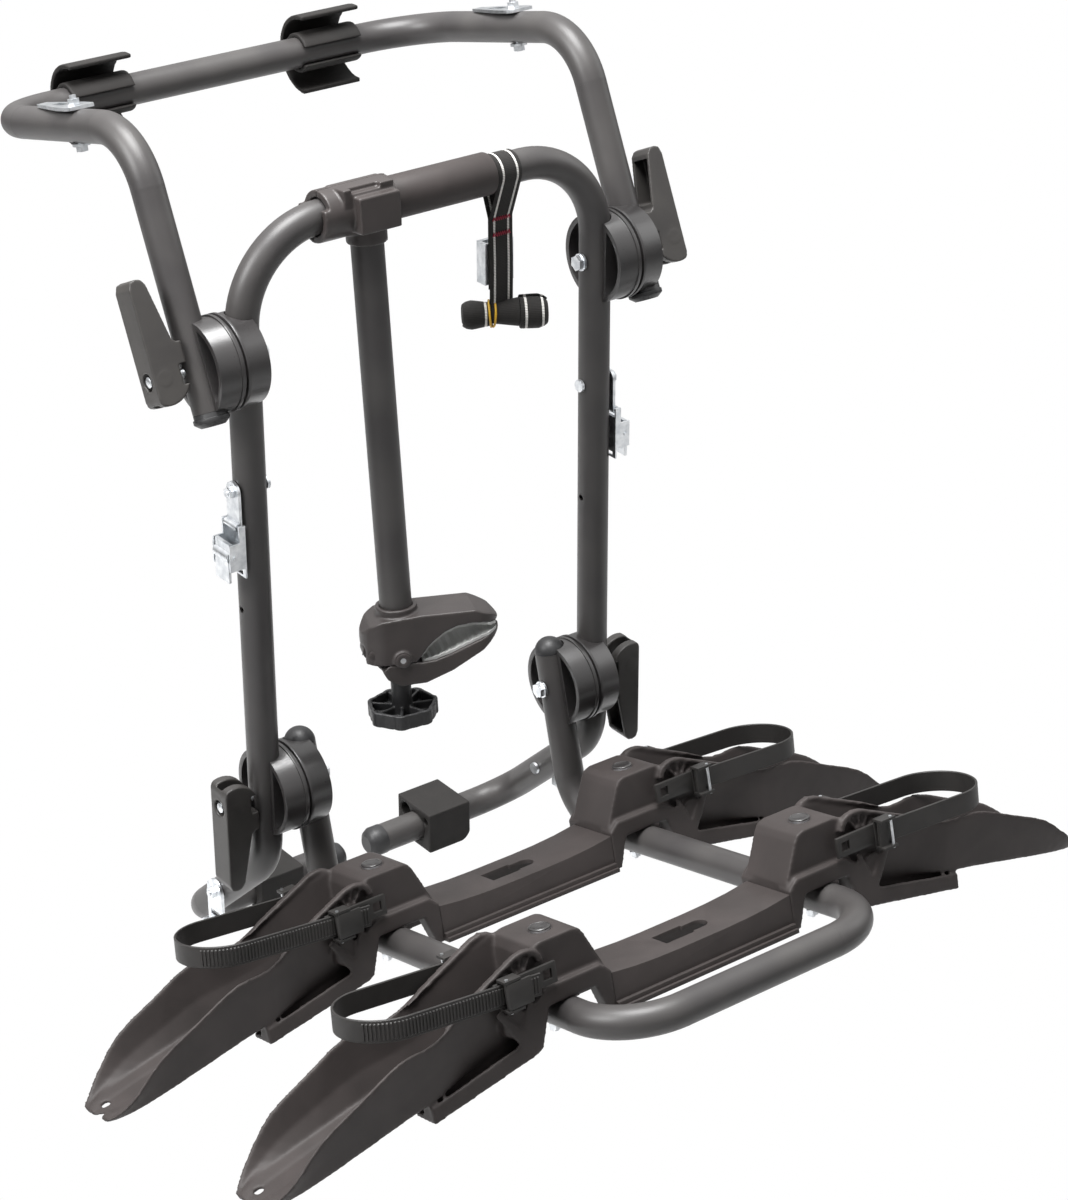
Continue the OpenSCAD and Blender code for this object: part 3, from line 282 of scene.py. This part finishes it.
def turned(name, profile, matrix):
    """A lathe part: rows of radius and height, turned round the matrix's Z axis."""
    mesh = bpy.data.meshes.new(name)
    bm = bmesh.new()
    rows = [bm.verts.new((r, 0, z)) for r, z in profile]
    lines = [bm.edges.new(pair) for pair in zip(rows, rows[1:])]
    bmesh.ops.spin(bm, geom=rows + lines, cent=(0, 0, 0), axis=(0, 0, 1), angle=2 * math.pi,
                   steps=LATHE_STEPS)
    bmesh.ops.remove_doubles(bm, verts=bm.verts, dist=0.000001)
    bmesh.ops.recalc_face_normals(bm, faces=bm.faces)
    bm.transform(matrix)
    bm.to_mesh(mesh)
    bm.free()
    piece = bpy.data.objects.new(name, mesh)
    bpy.context.scene.collection.objects.link(piece)
    alone(piece)
    bpy.ops.object.shade_smooth_by_angle(angle=LATHE_CREASE)
    return piece


def facing(place, axis):
    """A matrix that puts the lathe's Z axis on a given axis at a given place."""
    return Matrix.Translation(place) @ Vector(axis).to_track_quat("Z", "Y").to_matrix().to_4x4()

# %% [markdown]
# A moulded part never has a knife edge. For the crisp parts, the next function copies a node's mesh,
# welds it, melts the flat triangles together and rounds the sharp edges with a narrow bevel. The copy
# then stands in for the node and rides on the same body.

# %% crisp mouldings
WELD = 0.00002
FLAT = math.radians(0.4)
SHARP = math.radians(40)
MOULD_CREASE = math.radians(32)


def copied(node):
    """A loose copy of a node's mesh, to be reshaped."""
    piece = bpy.data.objects.new(node + "_moulded", NODES[node].data.copy())
    bpy.context.scene.collection.objects.link(piece)
    return piece


def softened(node, width):
    """A copy of a node with its sharp edges rounded."""
    piece = copied(node)
    alone(piece)
    bpy.ops.mesh.customdata_custom_splitnormals_clear()
    bpy.ops.object.mode_set(mode="EDIT")
    bpy.ops.mesh.select_all(action="SELECT")
    bpy.ops.mesh.remove_doubles(threshold=WELD)
    bpy.ops.mesh.dissolve_limited(angle_limit=FLAT)
    bpy.ops.object.mode_set(mode="OBJECT")
    edge = piece.modifiers.new("edge", "BEVEL")
    edge.width = width
    edge.segments = 2
    edge.limit_method = "ANGLE"
    edge.angle_limit = SHARP
    edge.use_clamp_overlap = True
    bpy.ops.object.modifier_apply(modifier="edge")
    bpy.ops.object.shade_smooth_by_angle(angle=MOULD_CREASE)
    return standing_for(piece, node)

# %% [markdown]
# Thick mouldings, such as the jaws, levers, pads and gutters, are round all over. A bevel can't
# follow their many crossing edges, so the copy is remeshed finely and then smoothed, which lets
# every edge flow. A remesh can leave loose crumbs beside thin walls, and these are taken out.

# %% round mouldings
CRUMB = 200


def without_crumbs(piece):
    """Removes the loose crumbs that a remesh leaves beside thin walls."""
    bm = bmesh.new()
    bm.from_mesh(piece.data)
    seen = set()
    crumbs = []
    for start in bm.verts:
        if start in seen:
            continue
        seen.add(start)
        island = [start]
        for vert in island:
            beside = [edge.other_vert(vert) for edge in vert.link_edges]
            unseen = [v for v in beside if v not in seen]
            seen.update(unseen)
            island += unseen
        if len(island) < CRUMB:
            crumbs += island
    bmesh.ops.delete(bm, geom=crumbs, context="VERTS")
    bm.to_mesh(piece.data)
    bm.free()


def melted(node, voxel, rounds, extras=(), hole=None):
    """A copy with every edge flowed round; extras are merged in first, and a hole is cut out."""
    piece = copied(node)
    if extras:
        joined(piece.name, [piece, *extras])
    alone(piece)
    bpy.ops.object.mode_set(mode="EDIT")
    bpy.ops.mesh.select_all(action="SELECT")
    bpy.ops.mesh.remove_doubles(threshold=WELD)
    bpy.ops.object.mode_set(mode="OBJECT")
    if hole:
        cut = piece.modifiers.new("cut", "BOOLEAN")
        cut.object = hole
        bpy.ops.object.modifier_apply(modifier="cut")
        bpy.data.objects.remove(hole)
    cells = piece.modifiers.new("cells", "REMESH")
    cells.mode = "VOXEL"
    cells.voxel_size = voxel
    bpy.ops.object.modifier_apply(modifier="cells")
    flow = piece.modifiers.new("flow", "SMOOTH")
    flow.factor = 0.5
    flow.iterations = rounds
    bpy.ops.object.modifier_apply(modifier="flow")
    without_crumbs(piece)
    bpy.ops.object.shade_smooth()
    if not piece.data.materials:
        piece.data.materials.append(FINISH_OF[node])
    return standing_for(piece, node)

# %% [markdown]
# Each cam lever has a round hole in its back, in which the bright end of its draw bolt shows, and
# closed cheeks over the ends of its barrel. The hole is cut and the cheeks are plugged before the
# lever is melted, so they take the same soft edges. The bolt's end is a lathe part on the lever.

# %% cam levers
HALF_LEVER = 0.014
PLUG_DEEP = 0.0015
PLUG_PROUD = 0.0002
PLUG_R = 0.0068
HOLE_R = 0.0078
HOLE_REACH = 0.03
BOLT_END = [(0, 0.0083), (0.0048, 0.0083), (0.0048, 0.0093), (0.0036, 0.0101), (0, 0.0104)]


def drum(name, radius, low, high, matrix):
    """A plain round slug between two heights on the matrix's Z axis."""
    return turned(name, [(0, low), (radius, low), (radius, high), (0, high)], matrix)


def lever_plugs(at):
    """Two discs that close the moulded cheeks over the ends of the lever's barrel."""
    low = HALF_LEVER - PLUG_DEEP
    high = HALF_LEVER + PLUG_PROUD
    return [drum("plug", PLUG_R, e * low, e * high, at) for e in (-1, 1)]


def cam_lever(node, voxel, rounds):
    """A lever with its bolt hole and plugged cheeks, and the bolt end in the hole."""
    hinge = JOINT_OF[BODY_OF[node]]
    spot = Vector(hinge["pos_m"])
    outward = facing(spot, (math.copysign(1.0, spot.x), 0, 0))
    hole = drum("hole", HOLE_R, 0, HOLE_REACH, outward)
    added(turned(node + "_bolt_end", BOLT_END, outward), node, "zinc_steel")
    return melted(node, voxel, rounds, lever_plugs(facing(spot, hinge["axis"])), hole)

# %% [markdown]
# Two tables choose the way for each moulding: a voxel size and smoothing rounds for the round ones,
# and a bevel width per slot for the crisp ones. The wheel straps have a piece of their own later on.

# %% make the mouldings
LEVERS = [n for n in NODES if n.startswith(("upper_lever_", "lower_lever_")) and "barrels" not in n]
GUTTERS = [n for n in NODES if "gutter" in n]
FLOWED = {"upper_jaw": (0.0009, 14), "lower_jaw": (0.0009, 8), "clamp_knob": (0.0008, 5),
          "clamp_block": (0.0009, 8), "clamp_block_cap": (0.0008, 6), "tailgate_pad_left": (0.001, 8),
          "tailgate_pad_right": (0.001, 8), "bumper_pads": (0.0012, 8)}
FLOWED.update({n: (0.0008, 10) for n in LEVERS})
FLOWED.update({n: (0.00145, 8) for n in GUTTERS})
EDGE_OF_SLOT = {"joint_plastic": 0.0008, "tray_plastic": 0.0009, "clamp_plastic": 0.0010,
                "strap_plastic": 0.0004, "cap_plastic": 0.0005}

moulds = [(cam_lever if n in LEVERS else melted)(n, *sizes) for n, sizes in FLOWED.items()]
moulds += [softened(n, EDGE_OF_SLOT[SLOT_OF[n]]) for n in NODES
           if SLOT_OF[n] in EDGE_OF_SLOT and n not in FLOWED and n != "wheel_straps"]
print("rounded copies", len(moulds), "faces", sum(len(p.data.polygons) for p in moulds))

# %% [markdown]
# Straps are ribbons. A ribbon is given by its stations: at each one, the two edge points and the
# outward direction. Each station carries a rounded rectangle, and the flat place of every point is
# kept as a texture coordinate in metres, so weave and printed lines follow the strap round its bends.
# A cloth simulation would lose the crisp edges, so the strap is laid out directly.

# %% ribbon
SECTION = [(0.0, -0.2), (0.0, 0.2), (0.03, 0.5), (0.12, 0.5), (0.16, 0.5), (0.33, 0.5), (0.5, 0.5),
           (0.67, 0.5), (0.84, 0.5), (0.88, 0.5), (0.97, 0.5), (1.0, 0.2), (1.0, -0.2), (0.97, -0.5),
           (0.84, -0.5), (0.67, -0.5), (0.5, -0.5), (0.33, -0.5), (0.16, -0.5), (0.03, -0.5)]
TOOTHED = (0.16, 0.84)
SOFT_EDGE = 0.4
STRAP_CREASE = math.radians(40)


def pulled_in(a, edges):
    """How far a strap's soft edge is drawn in, at a share of its width."""
    left = max(0.0, 1 - a / SOFT_EDGE) ** 2
    right = max(0.0, 1 - (1 - a) / SOFT_EDGE) ** 2
    return edges[0] * left + edges[1] * right


def ribbon(name, stations, thick, raised=None, edges=(0.0, 0.0), folded=0.0):
    """Closed strap through stations of (left edge, right edge, outward), with its length.

    raised gives extra height at each station, edges how far both edges are drawn in, and folded the
    share of the width by which the printed lines lie to one side.
    """
    mesh = bpy.data.meshes.new(name)
    bm = bmesh.new()
    flat = bm.loops.layers.uv.new("flat")
    rings = []
    run = 0.0
    place = {}
    for i, (left, right, outward) in enumerate(stations):
        if i:
            run += ((left + right) / 2 - (stations[i - 1][0] + stations[i - 1][1]) / 2).length
        lift = raised[i] if raised else 0.0
        width = (right - left).length
        ring = []
        for a, h in SECTION:
            extra = lift if h == 0.5 and TOOTHED[0] <= a <= TOOTHED[1] else 0.0
            vert = bm.verts.new(left.lerp(right, a) + outward * (h * thick + extra - pulled_in(a, edges)))
            place[vert] = ((a + folded) * width, run)
            ring.append(vert)
        rings.append(ring)
    count = len(SECTION)
    for one, two in zip(rings, rings[1:]):
        for j in range(count):
            k = (j + 1) % count
            bm.faces.new((one[j], one[k], two[k], two[j]))
    bm.faces.new(rings[0][::-1])
    bm.faces.new(rings[-1])
    for face in bm.faces:
        for loop in face.loops:
            loop[flat].uv = place[loop.vert]
    bmesh.ops.recalc_face_normals(bm, faces=bm.faces)
    bm.to_mesh(mesh)
    bm.free()
    piece = bpy.data.objects.new(name, mesh)
    bpy.context.scene.collection.objects.link(piece)
    alone(piece)
    bpy.ops.object.shade_smooth_by_angle(angle=STRAP_CREASE)
    print(name, "length", round(run, 3))
    return piece, run

# %% [markdown]
# The retaining strap is sewn round the top bar. Two plies run down together, and the spare tail is
# wound in three coils that lie side by side, pinched by a rubber band, so the bundle flares like a
# bow. Each coil is a flat spiral whose radius changes from one edge of the strap to the other, and
# the outer coils are drawn in at their free ends.

# %% strap hanging from the bar
TUBE_R = 0.015
WEB_W = 0.026
WEB_T = 0.0015
WEB_AT = Vector((0.071, -0.180, 0.759))
LOOP_GAP = 0.0004
LOOP_DEPTH = 0.036
LOOP_STEPS = 24
BACK_PLY = (-0.112, -0.09, -0.06, -0.044)
FRONT_PLY = ((0.0, -0.044), (0.0, -0.06), (0.0006, -0.085), (0.0004, -0.108), (0.0, -0.126))


def hanging_ply():
    """Stations of the ply that goes up the back, over the bar and down the front."""
    r = TUBE_R + LOOP_GAP + WEB_T / 2
    meet = math.acos(r / LOOP_DEPTH)
    line = [(WEB_T / 2, z) for z in BACK_PLY]
    back = -math.pi / 2 + meet
    turn = 2 * math.pi - 2 * meet
    for i in range(LOOP_STEPS + 1):
        angle = back + turn * i / LOOP_STEPS
        line.append((r * math.cos(angle), r * math.sin(angle)))
    line += [(-WEB_T / 2 - bulge, z) for bulge, z in FRONT_PLY]
    stations = []
    for i, (y, z) in enumerate(line):
        y0, z0 = line[max(i - 1, 0)]
        y1, z1 = line[min(i + 1, len(line) - 1)]
        ahead = Vector((0, y1 - y0, z1 - z0)).normalized()
        outward = Vector((0, ahead.z, -ahead.y))
        left = WEB_AT + Vector((0, y, z))
        stations.append((left, left + Vector((WEB_W, 0, 0)), outward))
    return stations

# %% wound tail of the strap
ROLL_DROP = 0.138
ROLL_TURN = math.radians(-30)
ROLL_AT = WEB_AT + Vector((WEB_W / 2, 0, -ROLL_DROP))
ROLL_AXIS = Vector((math.cos(ROLL_TURN), math.sin(ROLL_TURN), 0))
ROLL_SIDE = Vector((-math.sin(ROLL_TURN), math.cos(ROLL_TURN), 0))
COIL_R = 0.0062
COIL_PITCH = 0.0022
COIL_STEPS = 28


def roll_spoke(angle):
    """The direction away from the roll's axis, at an angle round it."""
    return ROLL_SIDE * math.cos(angle) + Vector((0, 0, math.sin(angle)))


def coil(start, turns, left_size, right_size, phase):
    """Stations of a tail coil; the sizes scale its radius at its two edges."""
    stations = []
    steps = int(turns * COIL_STEPS)
    for i in range(steps + 1):
        angle = 2 * math.pi * turns * i / steps
        r = COIL_R + COIL_PITCH * angle / (2 * math.pi)
        spoke = roll_spoke(angle + phase)
        left = ROLL_AT + ROLL_AXIS * start + spoke * (r * left_size)
        right = ROLL_AT + ROLL_AXIS * (start + WEB_W) + spoke * (r * right_size)
        stations.append((left, right, spoke))
    return stations

# %% [markdown]
# The webbing is woven polyester with two printed white lines. The weave is two crossed waves, 1.5 and
# 1.1 mm apart, which is as coarse as it needs to be to show. The lines are drawn by their distance
# from the middle of the strap, read from the flat texture coordinate.

# %% webbing
LINE_AT = 0.0078
LINE_HALF = 0.0011


def webbing():
    """Black woven webbing with two white lines along it."""
    material, tree, _, out = fresh("black_webbing_with_white_lines")
    flat = put(tree, "ShaderNodeUVMap", uv_map="flat").outputs["UV"]
    parts = put(tree, "ShaderNodeSeparateXYZ", {"Vector": flat})
    middle = put(tree, "ShaderNodeMath", {0: parts.outputs["X"], 1: WEB_W / 2}, operation="SUBTRACT")
    away = put(tree, "ShaderNodeMath", {0: middle.outputs[0]}, operation="ABSOLUTE")
    line = put(tree, "ShaderNodeMath", {0: away.outputs[0], 1: LINE_AT, 2: LINE_HALF}, operation="COMPARE")
    weft = put(tree, "ShaderNodeTexWave", {"Vector": flat, "Scale": wave_mm(1.5)}, bands_direction="Y")
    warp = put(tree, "ShaderNodeTexWave", {"Vector": flat, "Scale": wave_mm(1.1)}, bands_direction="X")
    weave = put(tree, "ShaderNodeMath", {
        0: weft.outputs["Fac"], 1: warp.outputs["Fac"]}, operation="MULTIPLY")
    black = put(tree, "ShaderNodeMixRGB", {
        "Fac": weave.outputs[0], "Color1": linear("#121110"), "Color2": linear("#272422")})
    white = put(tree, "ShaderNodeMixRGB", {
        "Fac": weft.outputs["Fac"], "Color1": linear("#8d8b88"), "Color2": linear("#f2f0ec")})
    tone = put(tree, "ShaderNodeMixRGB", {
        "Fac": line.outputs[0], "Color1": black.outputs[0], "Color2": white.outputs[0]})
    bump = put(tree, "ShaderNodeBump", {"Height": weave.outputs[0], "Strength": 0.6, "Distance": 0.0003})
    skin = put(tree, "ShaderNodeBsdfPrincipled", {
        "Base Color": tone.outputs[0], "Roughness": 0.75, "Normal": bump.outputs["Normal"],
        "Specular IOR Level": 0.25, "Sheen Weight": 0.06, "Sheen Roughness": 0.5})
    tree.links.new(skin.outputs["BSDF"], out.inputs["Surface"])
    return material

# %% make the retaining strap
COILS = [
    {"start": -0.036, "turns": 3.6, "left_size": 1.06, "right_size": 0.74, "phase": 0.6},
    {"start": -0.0095, "turns": 3.2, "left_size": 0.74, "right_size": 1.06, "phase": 2.2},
    {"start": 0.017, "turns": 4.0, "left_size": 1.04, "right_size": 1.08, "phase": 1.4},
]
COIL_EDGES = [(0.005, 0.0), (0.0, 0.0), (0.0, 0.0045)]
COIL_FOLDS = [-0.62, -2.0, 0.0]
strips = [ribbon("strap_ply", hanging_ply(), WEB_T)]
for spiral, edges, folded in zip(COILS, COIL_EDGES, COIL_FOLDS):
    strips.append(ribbon("strap_coil", coil(**spiral), WEB_T, edges=edges, folded=folded))
strap = joined("retaining_strap_webbing", [strip for strip, length in strips])
dressed(strap, webbing())
standing_for(strap, "retaining_strap")

# %% [markdown]
# Two bars of red thread hold the loop closed, and a yellow rubber band, twice round, holds the coils.
# Both are thin cords, so a small function draws a tube through a row of points. The zigzag of the
# thread is drawn a little thicker than real thread, so that it shows.

# %% thread
def thread(name, points, radius, closed=False):
    """A thin round tube through a row of points."""
    curve = bpy.data.curves.new(name, "CURVE")
    curve.dimensions = "3D"
    curve.bevel_depth = radius
    curve.bevel_resolution = 2
    curve.use_fill_caps = True
    line = curve.splines.new("POLY")
    line.points.add(len(points) - 1)
    for spot, point in zip(line.points, points):
        spot.co = (*point, 1.0)
    line.use_cyclic_u = closed
    piece = bpy.data.objects.new(name, curve)
    bpy.context.scene.collection.objects.link(piece)
    alone(piece)
    bpy.ops.object.convert(target="MESH")
    bpy.ops.object.shade_smooth()
    return bpy.context.object

# %% stitches
STITCHES = 17
STITCH_INSET = 0.0035
STITCH_SWING = 0.0017
STITCH_PROUD = 0.0004
STITCH_R = 0.0007


def stitch_bar(depth):
    """Zigzag of thread across the front ply, so far below the bar."""
    points = []
    for i in range(STITCHES):
        x = STITCH_INSET + (WEB_W - 2 * STITCH_INSET) * i / (STITCHES - 1)
        z = -depth + (STITCH_SWING if i % 2 else -STITCH_SWING)
        points.append(WEB_AT + Vector((x, -WEB_T - STITCH_PROUD, z)))
    return thread("stitch", points, STITCH_R)


stitches = joined("strap_stitches", [stitch_bar(0.0445), stitch_bar(0.0595)])
dressed(stitches, moulded("red_thread", "#8c2438", "#b83c52", 0.7, grain=0.6))
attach(stitches, BODY_OF["retaining_strap"])
print("stitch faces", len(stitches.data.polygons))

# %% rubber band
BAND_R = 0.0122
BAND_THICK = 0.0011
BAND_STEPS = 64
BAND_PHASE = 0.8


def band_turn(at, lean):
    """One turn of the rubber band round the roll, a little aslant."""
    points = []
    for i in range(BAND_STEPS):
        angle = 2 * math.pi * i / BAND_STEPS
        along = at + lean * math.cos(angle + BAND_PHASE)
        points.append(ROLL_AT + ROLL_AXIS * along + roll_spoke(angle) * BAND_R)
    return thread("turn", points, BAND_THICK, closed=True)


band = joined("rubber_band_turns", [band_turn(-0.0102, 0.0015), band_turn(-0.0070, -0.0013)])
dressed(band, FINISH["band_rubber"])
standing_for(band, "rubber_band")
print("band faces", len(band.data.polygons))

# %% [markdown]
# A wheel strap is a moulded band that leaves its plate, goes out round the tyre and comes back. The
# side that runs through the latch has fine cross teeth, which are stations of the ribbon lifted by
# one millimetre. The strap's line is a function of the length along it, so the teeth keep their
# pitch where the strap bends.

# %% where the trays are
FORK = Matrix.Translation((0, -0.180, 0.210)) @ Matrix.Rotation(math.radians(-14.4), 4, "X")
FORK_X = 0.147
FORK_DROP = 0.141
TRAY_AT = {"rear": 0.093, "front": 0.358}
TRAY_MIDDLE = 0.004


def on_tray(side, tray, u, v, w):
    """A tray's own place, out along the gutter, across it and up, in the shared frame."""
    return FORK @ Vector((side * (FORK_X + u), v - TRAY_AT[tray], w - FORK_DROP))

# %% line of a wheel strap
STRAP_T = 0.0022
STRAP_BEND = 0.0428
STRAP_REACH = 0.206
STRAP_R = STRAP_BEND - STRAP_T / 2
STRAP_START = 0.032
STRAP_END = 0.058
STRAP_STOP = 0.04
STRAP_FAR = STRAP_REACH - STRAP_BEND
STRAP_FIRST = STRAP_FAR - STRAP_START
BEND_STEPS = 20
TOOTH = 0.0033
TOOTH_START = 0.002
TOOTH_HIGH = 0.001
TOOTH_SHAPE = ((0.0, 0.0), (0.0004, TOOTH_HIGH), (0.0018, TOOTH_HIGH), (0.0022, 0.0))
TOOTHED_BEND = math.radians(58)


def strap_line(s):
    """Place and outward direction in the strap's plane, at length s from the toothed end."""
    if s < STRAP_FIRST:
        return STRAP_START + s, -STRAP_R, 0.0, -1.0
    angle = (s - STRAP_FIRST) / STRAP_R
    if angle < math.pi:
        across, along = -math.cos(angle), math.sin(angle)
        return STRAP_FAR + STRAP_R * along, STRAP_R * across, along, across
    return STRAP_FAR - (s - STRAP_FIRST - math.pi * STRAP_R), STRAP_R, 0.0, 1.0


def strap_steps():
    """Lengths along the strap with the tooth height at each."""
    toothed = STRAP_FIRST + STRAP_R * TOOTHED_BEND
    steps = [(0.0, 0.0)]
    s = TOOTH_START
    while s < toothed:
        steps += [(s + ahead, high) for ahead, high in TOOTH_SHAPE]
        s += TOOTH
    end = STRAP_FIRST + math.pi * STRAP_R
    steps += [(s + (end - s) * i / BEND_STEPS, 0.0) for i in range(BEND_STEPS + 1)]
    return steps + [(end + STRAP_STOP, 0.0), (end + STRAP_FAR - STRAP_END, 0.0)]

# %% make the wheel straps
STRAP_HALF = 0.010
STRAP_RISE = 0.045
STRAP_TURN_AT = 0.066
LIFT = {-1: math.radians(5), 1: math.radians(-3)}


def wheel_strap(side, tray):
    """One toothed strap on a tray, tilted about the point where its latch holds it."""
    stations = []
    heights = []
    turn = LIFT[side]
    for s, tooth in strap_steps():
        u, v, out_u, out_v = strap_line(s)
        edges = []
        for w in (-STRAP_HALF, STRAP_HALF):
            reach = (u - STRAP_TURN_AT) * math.cos(turn) - w * math.sin(turn)
            rise = (u - STRAP_TURN_AT) * math.sin(turn) + w * math.cos(turn)
            across = TRAY_MIDDLE - side * v
            edges.append(on_tray(side, tray, STRAP_TURN_AT + reach, across, STRAP_RISE + rise))
        outward = FORK.to_3x3() @ Vector((side * out_u, -side * out_v, 0))
        stations.append((edges[0], edges[1], outward.normalized()))
        heights.append(tooth)
    return ribbon("wheel_strap", stations, STRAP_T, heights)[0]


all_straps = [wheel_strap(side, tray) for side in (-1, 1) for tray in TRAY_AT]
straps = joined("toothed_wheel_straps", all_straps)
dressed(straps, FINISH["strap_plastic"])
standing_for(straps, "wheel_straps")
print("wheel strap faces", len(straps.data.polygons))

# %% [markdown]
# The clamp head's swing pin shows only its small bright end inside a dark ring, and the jaw's own
# pin is capped. The rings sit on the ends of the solid pins, which are found in the node's mesh.

# %% pin rings and caps
RING = [(0.0027, -0.0006), (0.0068, -0.0006), (0.0068, 0.0004), (0.0058, 0.0009), (0.0036, 0.0009),
        (0.0027, 0.0003), (0.0027, -0.0006)]
CAP = [(0.0, -0.0004), (0.0042, -0.0004), (0.0042, 0.0004), (0.0034, 0.0009), (0.0, 0.0009)]
JAW_PIN_REACH = 0.0178
AT_TIP = 0.0002
pin_axis = Vector(JOINT_OF["jaw"]["axis"])
jaw_pin = Vector(JOINT_OF["jaw"]["pos_m"])
pin_points = [v.co.copy() for v in NODES["clamp_pins"].data.vertices]
rings = []
for end in (-1, 1):
    reach = max(end * p.dot(pin_axis) for p in pin_points)
    tip = [p for p in pin_points if reach - end * p.dot(pin_axis) < AT_TIP]
    middle = sum(tip, Vector()) / len(tip)
    rings.append(turned("ring", RING, facing(middle, end * pin_axis)))
    rings.append(turned("cap", CAP, facing(jaw_pin + end * JAW_PIN_REACH * pin_axis, end * pin_axis)))
pin_rings = joined("clamp_pin_rings", rings)
added(pin_rings, "clamp_pins", "clamp_plastic")
print("pin rings and caps", len(rings))

# %% [markdown]
# Each tray bolt hides under a shallow black cover that is pressed into the hump. All four are turned
# from one outline and joined.

# %% bolt covers
COVER = [(0.0, 0.0728), (0.0097, 0.0728), (0.0097, 0.0737), (0.0092, 0.0742), (0.0076, 0.0745),
         (0.0070, 0.0741), (0.0, 0.0741)]
covers = []
for side in (-1, 1):
    for tray in TRAY_AT:
        spot = Matrix.Translation((side * FORK_X, -TRAY_AT[tray], -FORK_DROP))
        covers.append(turned("cover", COVER, FORK @ spot))
cover = joined("tray_bolt_covers", covers)
added(cover, "tray_bolts", "joint_plastic")
print("bolt covers", len(covers))

# %% [markdown]
# The stage is a plain pale floor at road height, well below the rack, and soft light from large
# lamps. The floor and the sky are white to the camera only, so the background adds no light. As a
# light the sky is soft, and in reflections it is brighter overhead, like a studio's ceiling.

# %% floor
FLOOR_Z = -0.45
FLOOR_SIZE = 30
bpy.ops.object.select_all(action="DESELECT")
bpy.ops.mesh.primitive_plane_add(size=FLOOR_SIZE, location=(0, 0, FLOOR_Z))
floor = bpy.context.object
floor.name = "floor"
floor_paint, tree, _, out = fresh("white_floor")
matt = put(tree, "ShaderNodeBsdfPrincipled", {"Base Color": linear("#d8d8d8"), "Roughness": 0.9})
glow = put(tree, "ShaderNodeEmission", {"Color": (1, 1, 1, 1), "Strength": 1.0})
seen = put(tree, "ShaderNodeLightPath")
both = put(tree, "ShaderNodeMixShader", {
    0: seen.outputs["Is Camera Ray"], 1: matt.outputs[0], 2: glow.outputs[0]})
tree.links.new(both.outputs[0], out.inputs["Surface"])
floor.data.materials.append(floor_paint)
print("floor at", FLOOR_Z)

# %% sky
world = bpy.data.worlds.new("studio")
bpy.context.scene.world = world
world.use_nodes = True
tree = world.node_tree
tree.nodes.clear()
seen = put(tree, "ShaderNodeLightPath")
soft = put(tree, "ShaderNodeBackground", {"Color": (1, 1, 1, 1), "Strength": 0.11})
way = put(tree, "ShaderNodeTexCoord")
rise = put(tree, "ShaderNodeSeparateXYZ", {0: way.outputs["Generated"]})
overhead = put(tree, "ShaderNodeMapRange", {"Value": rise.outputs["Z"], "To Min": 0.45, "To Max": 1.9})
sheen = put(tree, "ShaderNodeBackground", {"Color": (1, 1, 1, 1), "Strength": overhead.outputs["Result"]})
white = put(tree, "ShaderNodeBackground", {"Color": (1, 1, 1, 1), "Strength": 1.0})
dim = put(tree, "ShaderNodeMixShader", {
    0: seen.outputs["Is Glossy Ray"], 1: soft.outputs[0], 2: sheen.outputs[0]})
sky = put(tree, "ShaderNodeMixShader", {
    0: seen.outputs["Is Camera Ray"], 1: dim.outputs[0], 2: white.outputs[0]})
put(tree, "ShaderNodeOutputWorld", {"Surface": sky.outputs[0]})
print("sky nodes", len(tree.nodes))

# %% lamps
LAMP_AIM = Vector((0, -0.2, 0.3))


def lamp(name, place, size, power):
    """A square area lamp that points at the middle of the rack."""
    data = bpy.data.lights.new(name, "AREA")
    data.shape = "SQUARE"
    data.size = size
    data.energy = power
    item = bpy.data.objects.new(name, data)
    bpy.context.scene.collection.objects.link(item)
    item.location = place
    item.rotation_euler = (LAMP_AIM - Vector(place)).to_track_quat("-Z", "Y").to_euler()


lamp("key", place=(-2.8, 0.1, 2.6), size=1.4, power=125)
lamp("top", place=(-0.3, -0.1, 3.3), size=1.6, power=225)
lamp("side", place=(2.8, -0.8, 1.8), size=1.6, power=15)
print("lamps", len(bpy.data.lights))
